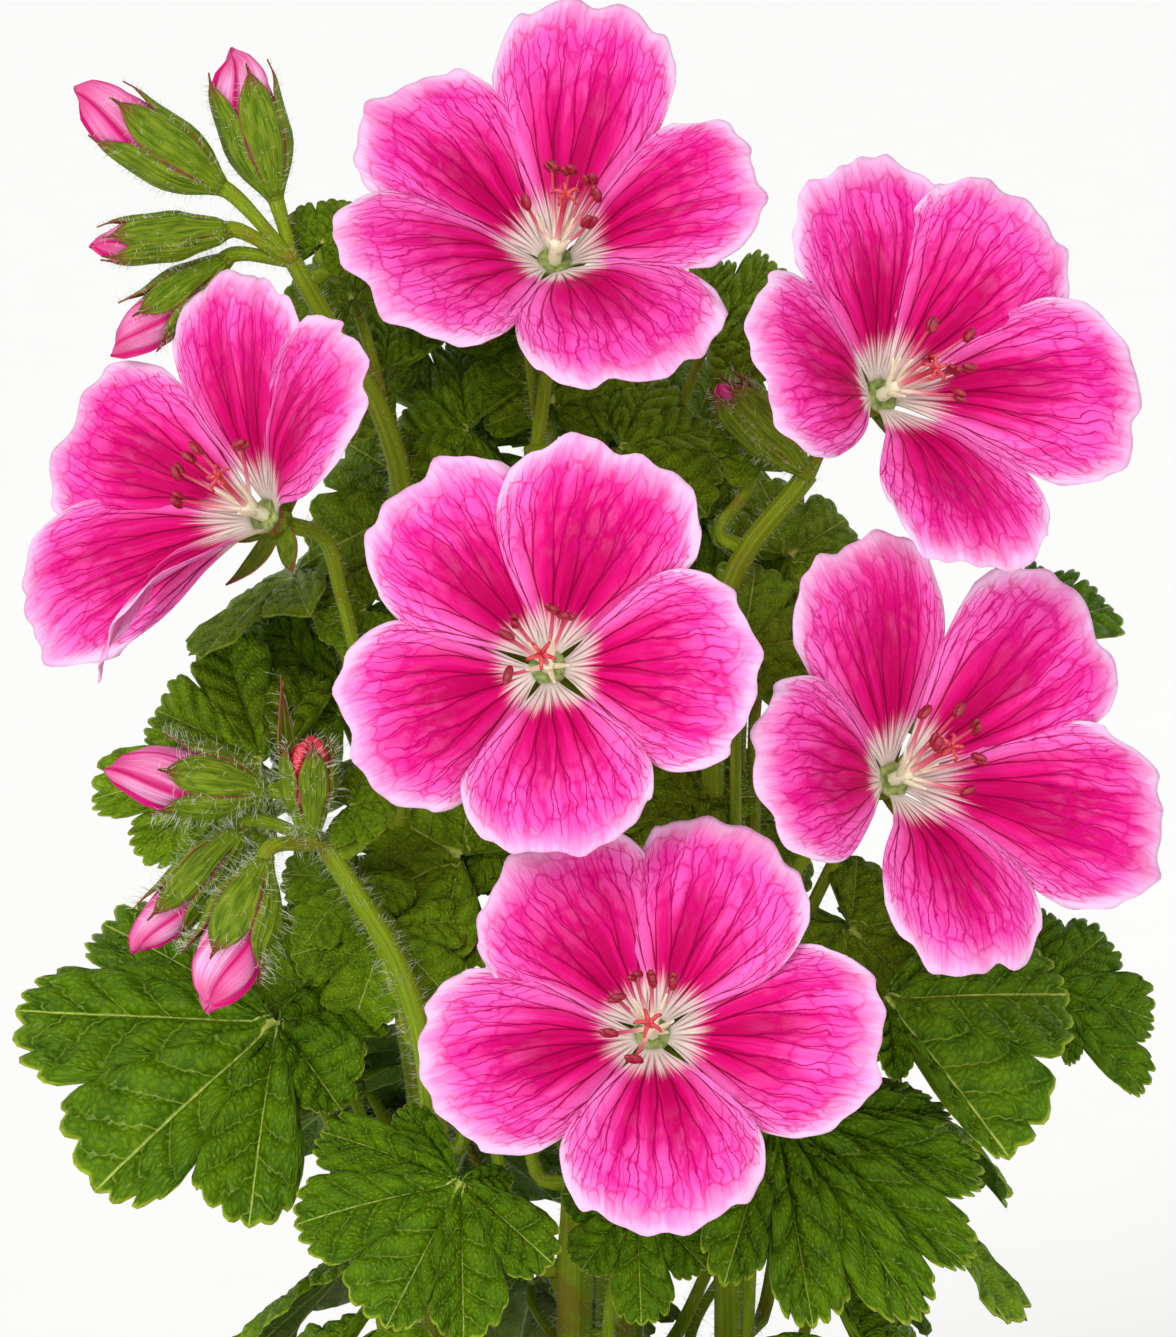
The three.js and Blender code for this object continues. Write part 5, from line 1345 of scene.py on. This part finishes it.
def bud(entry, number):
    name, stem, base, tip, toward, width, reach, flare = entry
    start, end = seen(*base, toward[0]), seen(*tip, toward[1])
    length = float(np.linalg.norm(end - start))
    axis = unit(end - start)
    right, above = square_to(axis, TO_VIEWER)
    made = dict(stem=stem, throat=start, axis=axis, right=right, above=above, length=length, width=width,
                reach=reach, flare=flare, upright=name == UPRIGHT_BUD)
    # Petals furled over each other: each one's free edge stands off the next
    work = Patchwork()
    sides, rings = 70, 26
    share = np.linspace(BUD_FLOOR + 0.02, 0.99, rings)[:, None]
    turn = (np.arange(sides) / sides)[None, :]
    a = turn * FULL_TURN + BUD_TWIST * share
    lap = np.mod(turn * 5, 1)
    step = lap ** 2.2 * 0.13 - 0.08 * np.exp(-((lap - 0.05) / 0.06) ** 2)
    radius = bud_radius(width, share) * (0.97 + step * smooth(0.15, 0.5, share))
    folded = smooth(0.92, 1.0, share) * width / BUD_SCALE
    radius = radius + (bud_swell(width, share) - folded) * (0.8 + 2.4 * step)
    radius = radius * (1 + (0.03 + 0.13 * smooth(0.5, 0.95, share)) * np.cos(3 * a + 2 * share + number))
    mouth = share + 0.045 * np.cos(a - 1.2 * number) * smooth(0.6, 1.0, share)
    points = start + axis * (mouth * length)[..., None] + outward(made, a) * radius[..., None]
    ends = [[up_the_axis(made, along * length)] for along in (BUD_FLOOR, 0.97)]
    uv = np.stack(np.broadcast_arrays(number * 5 + np.floor(turn * 5) + lap * 0.98 + 0.01, share), 2)
    maps = [uv.reshape(-1, 2), [[number * 5 + 0.5, 0.1], [number * 5 + 0.9, 1.0]]]
    work.add(np.concatenate([points.reshape(-1, 3)] + ends), capped_faces(rings, sides), np.concatenate(maps),
             int(made["upright"]))
    work.make(name, BUD_FINISH, "bud_pink", name)
    return made


def bud_stalk(work, made, number):
    length, width, reach, flare = made["length"], made["width"], made["reach"], made["flare"]
    seat = BUD_FLOOR * length - 2.2
    way = [on_stem(made["stem"], 1.0)["foot"], up_the_axis(made, -3), up_the_axis(made, seat)]
    line = tube(work, curve_through(way, 22), [0.95, 1.0, 1.3], 10, 0, 0.04, seed=number)
    HAIRY[made["stem"]].append((line, 1.6))
    wide = max(1.7, width * 0.24)
    cup = [(-2.6, 1.1), (-1.8, 1.3), (-1.0, 1.6), (-0.2, wide * 0.9), (0.7, wide), (1.6, 1.4)]
    receptacle(work, made, [(seat + height, radius) for height, radius in cup], 18)
    fullness = 1.5 if reach > 0.85 and not made["upright"] else 1.0
    floor_reach = float(bud_radius(width, BUD_FLOOR)) + SKIN
    stations = [(1.15, seat - 1.7, 1.5), (1.9, seat - 0.3, 2.5),
                (floor_reach, BUD_FLOOR * length, width * 0.5)]
    for t, off, flared, wider in SEPAL_RUN:
        share = lerp(BUD_FLOOR, reach, t)
        body = float(bud_radius(width, share) + bud_swell(width, share))
        distance = body + SKIN + (off + flared * flare) * 0.6
        stations.append((distance, share * length, width * 0.5 * wider * fullness))
    bearings = [k / 5 * FULL_TURN + 0.3 for k in range(5)]
    for points in sepals(work, made, bearings, stations, number, 3 if made["upright"] else None):
        HAIRY_SHEETS[made["stem"]].append((points, None))


HAIRY_SHEETS = {name: [] for name in STEMS}
SHOOTS = {name: Patchwork() for name in STEMS}
for name in STEMS:
    stem_body(SHOOTS[name], name)
for k, bloom in enumerate(BLOOMS):
    flower_stalk(SHOOTS[bloom["stem"]], bloom, k + 1)
for k, entry in enumerate(BUDS):
    bud_stalk(SHOOTS[entry[1]], bud(entry, k + 1), k + 11)
for name, work in SHOOTS.items():
    work.make("shoot_" + name, SHOOT_FINISH, "shoot_green", "shoot_" + name)


# Hairs on stems, stalks and sepals

def tube_hairs(work, lines, per_mm, low, high, thickness):
    for (points, ways, radius), more in lines:
        total = run_length(points)[-1]
        count = int(total * per_mm * more * (0.4 + float(radius.mean()) * 0.4))
        at = RNG.uniform(0, len(points) - 1, count)
        k = np.minimum(at.astype(int), len(points) - 2)
        t = (at - k)[:, None]
        place = lerp(points[k], points[k + 1], t)
        way = unit(ways[k])
        out = RNG.normal(size=(count, 3))
        out = unit(out - way * (out * way).sum(1, keepdims=True))
        roots = place + out * lerp(radius[k][:, None], radius[k + 1][:, None], t) * 0.96
        lean = out + way * RNG.uniform(-0.3, 0.5, (count, 1))
        clear = place[:, 2] > SOIL_TOP + 3
        lengths = RNG.uniform(low, high, clear.sum())
        hair_coat(work, roots[clear], lean[clear], lengths, thickness, 0.3, False)


def sheet_hairs(work, sheets, count, low, high, thickness, bent):
    """Hairs that stand on the outer face of sepals, more of them along the margins."""
    for points, turned in sheets:
        rows, columns = points.shape[:2]
        normals = point_normals(points.reshape(-1, 3), [grid_faces(rows, columns)]).reshape(points.shape)
        v = RNG.uniform(0, rows - 1.01, count)
        w = np.where(RNG.uniform(size=count) < 0.5, RNG.choice([0.0, columns - 1.01], count),
                     RNG.uniform(0, columns - 1.01, count))
        i, j = v.astype(int), w.astype(int)
        place = lerp(points[i, j], points[i + 1, j], (v - i)[:, None])
        way = normals[i, j]
        if turned is not None:
            way = np.where(((way @ turned) < 0)[:, None], -way, way)
        margin = np.abs(w / (columns - 1) - 0.5) > 0.4
        side = np.where(w > columns / 2, 1, -1) * margin
        aside = unit(points[i, columns - 1] - points[i, 0]) * side[:, None]
        along = unit(points[i + 1, j] - points[i, j])
        lean = way + aside * 0.7 + along * 0.45
        hair_coat(work, place, lean, RNG.uniform(low, high, count), thickness, 0.45, bent)


# Hairs of a stem: how many a millimetre and the lengths; on a bud's sepal: how many, lengths and thickness
SHAGGY = (8.5, 0.8, 3.1), (80, 1.0, 3.5, 0.036)
DOWNY = (6.5, 0.8, 1.7), (64, 1.0, 2.0, 0.032)
FLOWER_SEPAL_HAIRS = (26, 0.6, 1.4, 0.03)
STEM_HAIR = 0.034
for name in STEMS:
    work = Patchwork()
    on_stalks, on_buds = SHAGGY if name == "left" else DOWNY
    tube_hairs(work, HAIRY[name], *on_stalks, STEM_HAIR)
    sheets = HAIRY_SHEETS[name]
    sheet_hairs(work, [pair for pair in sheets if pair[1] is None], *on_buds, True)
    sheet_hairs(work, [pair for pair in sheets if pair[1] is not None], *FLOWER_SEPAL_HAIRS, False)
    work.make("hairs_on_shoot_" + name, HAIR_FINISH, "shoot_green", "shoot_" + name)


# Pot and soil

POT_SIDES = 120
DRAIN_RADIUS = 4.0
DRAIN_CIRCLE = 22.0
DRAIN_COUNT = 3
DRAIN_SIDES = 28
POT_FLOOR = 6.0
POT_STEP = 3.0

# Radius and height up the outside, over the rim and down the inside
POT_PROFILE = [
    (40.8, 0.0), (41.6, 0.35), (42.0, 1.4), (44.0, 11.4), (47.0, 26.4), (50.0, 41.4), (53.0, 56.4),
    (56.4, 72.0), (56.8, 73.3), (57.6, 74.0), (58.6, 74.1), (59.0, 74.9), (59.3, 81.0), (59.7, 89.0),
    (60.0, 95.6), (59.8, 97.0), (59.0, 97.9), (57.0, 98.0), (54.4, 97.8), (53.4, 96.9), (53.1, 94.0),
    (51.4, 84.0), (48.4, 62.0), (45.0, 42.0), (41.6, 22.0), (39.6, 9.0), (38.4, 6.6), (37.6, 6.0),
]


def pot_face(s):
    where = s.place()
    height = s.split(where)[2] * 1000
    clay = s.noise(where, 60.0, 5.0, 0.6)
    grit = s.noise(where, 1500.0, 2.0)
    lime = s.noise(where, 34.0, 4.0, 0.65, 0.6)
    turning = s.noise(s.vector(0.0, 0.0, height * 0.9), 1.0, 2.0)
    base = s.mix(clay.between(0.3, 0.7), (176, 88, 52), (196, 110, 70))
    base = s.mix(grit.between(0.62, 0.72) * 0.5, base, (214, 140, 104))
    base = s.mix(grit.between(0.36, 0.28) * 0.5, base, (138, 62, 36))
    crust = (lime.between(0.52, 0.74) * 0.5) * height.between(104.0, 40.0, 0.4, 1.0)
    base = s.mix(crust, base, (216, 180, 156))
    normal = s.bump(turning * 0.6 + clay * 0.3, 0.30, 0.7, s.bump(grit, 0.16, 0.7))
    return {"Base Color": base, "Normal": normal, "Roughness": clay * 0.2 + 0.72}


def flat_ring(sides):
    """Points of a level circle with radius 1."""
    angle = round_angles(sides)
    return np.stack([np.cos(angle), np.sin(angle), 0 * angle], 1)


def round_links(first, sides):
    return [(first + k, first + (k + 1) % sides) for k in range(sides)]


def pot():
    ring = flat_ring(POT_SIDES)
    stations = []
    for (r0, z0), (r1, z1) in zip(POT_PROFILE[:-1], POT_PROFILE[1:]):
        steps = max(1, int(math.hypot(r1 - r0, z1 - z0) / POT_STEP))
        stations += [(lerp(r0, r1, k / steps), lerp(z0, z1, k / steps)) for k in range(steps)]
    stations.append(POT_PROFILE[-1])
    rows = [ring * (r + 0.05 * math.sin(z * 1.7) + 0.04 * math.sin(z * 0.61 + 1)) + UP * z
            for r, z in stations]
    body = np.concatenate(rows)
    count = len(body)
    round_hole = flat_ring(DRAIN_SIDES)[:, :2] * DRAIN_RADIUS
    bearings = [(k + 0.5) / DRAIN_COUNT * FULL_TURN for k in range(DRAIN_COUNT)]
    holes = [np.array([math.cos(a), math.sin(a)]) * DRAIN_CIRCLE + round_hole for a in bearings]
    points, faces = [body], [grid_faces(len(rows), POT_SIDES, True)]
    placed = {}
    for level, edge_row in ((0.0, 0), (POT_FLOOR, len(rows) - 1)):
        edge = rows[edge_row][:, :2]
        flat = np.concatenate([edge] + holes)
        links = round_links(0, POT_SIDES)
        for h in range(DRAIN_COUNT):
            links += round_links(POT_SIDES + DRAIN_SIDES * h, DRAIN_SIDES)
        found, _, triangles, *_ = geometry.delaunay_2d_cdt([Vector(p) for p in flat], links, [], 1, 1e-7)
        middle = [np.mean([found[i] for i in t], axis=0) for t in triangles]
        kept = [t for t, m in zip(triangles, middle)
                if all(np.hypot(*(m - hole.mean(0))) > DRAIN_RADIUS * 0.98 for hole in holes)]
        # The flat's own edge points are those of the wall; its hole points are new
        names = np.arange(len(flat))
        names[:POT_SIDES] += edge_row * POT_SIDES
        names[POT_SIDES:] += count - POT_SIDES
        new_points = DRAIN_SIDES * DRAIN_COUNT
        count += new_points
        points.append(np.concatenate([np.concatenate(holes), np.full((new_points, 1), level)], 1))
        turned = np.array([[names[i] for i in t] for t in kept])
        faces.append(turned[:, ::-1] if level == 0.0 else turned)
        placed[level] = names[POT_SIDES:]
    for h in range(DRAIN_COUNT):
        wall = slice(DRAIN_SIDES * h, DRAIN_SIDES * (h + 1))
        low, high = placed[0.0][wall], placed[POT_FLOOR][wall]
        faces.append(np.stack([low, high, np.roll(high, -1), np.roll(low, -1)], 1))
    points = np.concatenate(points)
    work = Patchwork()
    uv = np.stack([np.arctan2(points[:, 1], points[:, 0]) / FULL_TURN, points[:, 2] / POT_HEIGHT], 1)
    work.add(points, faces, uv)
    work.make("pot", [finish("fired_clay", pot_face, Specular_IOR_Level=0.35)], "pot_clay", "pot")


SOIL_EDGE = 50.9
SOIL_FOOT = 37.4
SOIL_FLOOR = POT_FLOOR + 0.35
CRUMBS = 520


def soil_face(s):
    where = s.place()
    coarse = s.noise(where, 260.0, 5.0, 0.65)
    fine = s.noise(where, 1700.0, 3.0, 0.6)
    base = s.mix(coarse.between(0.3, 0.7), (38, 24, 15), (84, 58, 38))
    base = s.mix(fine.between(0.6, 0.75) * 0.5, base, (120, 88, 60))
    normal = s.bump(coarse + fine * 0.6, 0.9, 0.9)
    return {"Base Color": base, "Normal": normal, "Roughness": fine * 0.1 + 0.82}


def perlite_face(s):
    tone = s.noise(s.place(), 1400.0, 3.0)
    return {"Base Color": s.mix(tone, (206, 202, 192), (240, 238, 230)), "Roughness": tone * 0.1 + 0.8,
            "Normal": s.bump(tone, 0.25, 0.8)}


def lump(work, centre, size, finish, luck):
    """An uneven crumb."""
    sides, rings = 7, 3
    share = np.linspace(0, math.pi, rings + 2)[1:-1]
    way = unit(luck.normal(size=3))
    one, other = square_to(way, np.array([0.3, 0.5, 0.8]))
    uneven = size * luck.uniform(0.7, 1.25, (rings, sides))
    reach = np.sin(share)[:, None] * uneven
    body = (centre - way * (np.cos(share) * size * luck.uniform(0.7, 1.3))[:, None, None]
            + spoke(one, other, round_angles(sides))[None] * reach[:, :, None])
    places = np.concatenate([body.reshape(-1, 3), [centre - way * size, centre + way * size]])
    work.add(places, capped_faces(rings, sides), np.full((len(places), 2), 0.5), finish)


def soil_swell(x, y):
    """How far the soil's face rises above its level."""
    return noise.fractal(Vector((x * 0.11, y * 0.11, 3.0)), 0.9, 2.1, 5) * 1.3


def soil():
    luck = np.random.default_rng(5)
    work = Patchwork()
    sides, rings, wall_rings = 96, 30, 7
    ring = flat_ring(sides)
    rows = [ring * SOIL_FOOT + UP * SOIL_FLOOR]
    for k in range(1, wall_rings + 1):
        z = lerp(SOIL_FLOOR, SOIL_TOP - 2.0, k / wall_rings)
        rows.append(ring * (lerp(39.0, 50.7, (z - 6) / 81) - 0.2) + UP * z)
    for k in range(rings):
        r = SOIL_EDGE * (1 - k / rings) - 0.1
        row = ring * r
        sunk = 1.6 * smooth(0.9, 1.0, r / SOIL_EDGE) + 0.2
        row[:, 2] = [SOIL_TOP + soil_swell(x, y) - sunk for x, y, z in row]
        rows.append(row)
    body = np.concatenate(rows + [[[0, 0, SOIL_FLOOR], [0, 0, SOIL_TOP]]])
    work.add(body, capped_faces(len(rows), sides), body[:, :2] / 50)
    for i in range(CRUMBS):
        r, a = SOIL_EDGE * math.sqrt(luck.uniform(0, 0.94)), luck.uniform(0, 6.283)
        x, y = r * math.cos(a), r * math.sin(a)
        size = luck.uniform(0.5, 1.5) if i % 6 else luck.uniform(1.4, 2.4)
        place = np.array([x, y, SOIL_TOP + soil_swell(x, y) + size * 0.15])
        lump(work, place, size, 1 if i % 9 == 0 else 0, luck)
    skins = [finish("damp_soil", soil_face, Specular_IOR_Level=0.3), finish("perlite", perlite_face)]
    work.make("soil", skins, "potting_soil", "soil")


pot()
soil()


# Floor, light and camera, in metres

FLOOR_REACH = 9.0
SKY_STRENGTH = 0.78
LIT_PLACE = (0, 0, 0.2)
SENSOR = 36.0


def floor_face(s):
    tone = s.noise(s.place(), 40.0, 3.0)
    return {"Base Color": s.mix(tone, (250, 250, 249), (253, 253, 252)), "Roughness": tone * 0.1 + 0.7}


def lamp(name, kind, strength, place):
    light = bpy.data.lights.new(name, kind)
    light.energy = strength
    holder = bpy.data.objects.new(name, light)
    holder.location = place
    aim = Vector(LIT_PLACE) - Vector(place)
    holder.rotation_euler = aim.to_track_quat("-Z", "Y").to_euler()
    bpy.context.scene.collection.objects.link(holder)
    return light


def stage():
    floor = bpy.data.meshes.new("floor")
    corners = [(x * FLOOR_REACH, y * FLOOR_REACH, 0) for x, y in ((-1, -1), (1, -1), (1, 1), (-1, 1))]
    floor.from_pydata(corners, [], [(0, 1, 2, 3)])
    floor.materials.append(finish("pale_floor", floor_face))
    plane = bpy.data.objects.new("floor", floor)
    bpy.context.scene.collection.objects.link(plane)
    world = bpy.data.worlds.new("soft_daylight")
    world.use_nodes = True
    sky = world.node_tree.nodes["Background"].inputs
    sky[0].default_value = (1.0, 1.0, 1.0, 1.0)
    sky[1].default_value = SKY_STRENGTH
    bpy.context.scene.world = world
    lamp("key", "SUN", 1.2, (-0.5, -1.0, 1.0)).angle = math.radians(24)
    lamp("fill", "AREA", 3.6, (0.4, -1.2, 0.45)).size = 0.9
    lamp("low_fill", "AREA", 2.4, (-0.9, -1.0, 0.2)).size = 0.8


def camera():
    lens = bpy.data.cameras.new("view")
    lens.sensor_width = SENSOR
    lens.lens = SENSOR * VIEW_DISTANCE / (PICTURE[1] * PIXEL)
    holder = bpy.data.objects.new("view", lens)
    turn = Matrix([ACROSS.tolist(), UPWARD.tolist(), TO_VIEWER.tolist()]).transposed()
    holder.matrix_world = Matrix.Translation((TARGET + TO_VIEWER * VIEW_DISTANCE) * MM) @ turn.to_4x4()
    bpy.context.scene.collection.objects.link(holder)
    bpy.context.scene.camera = holder


stage()
camera()
bpy.context.scene.view_settings.view_transform = "Standard"
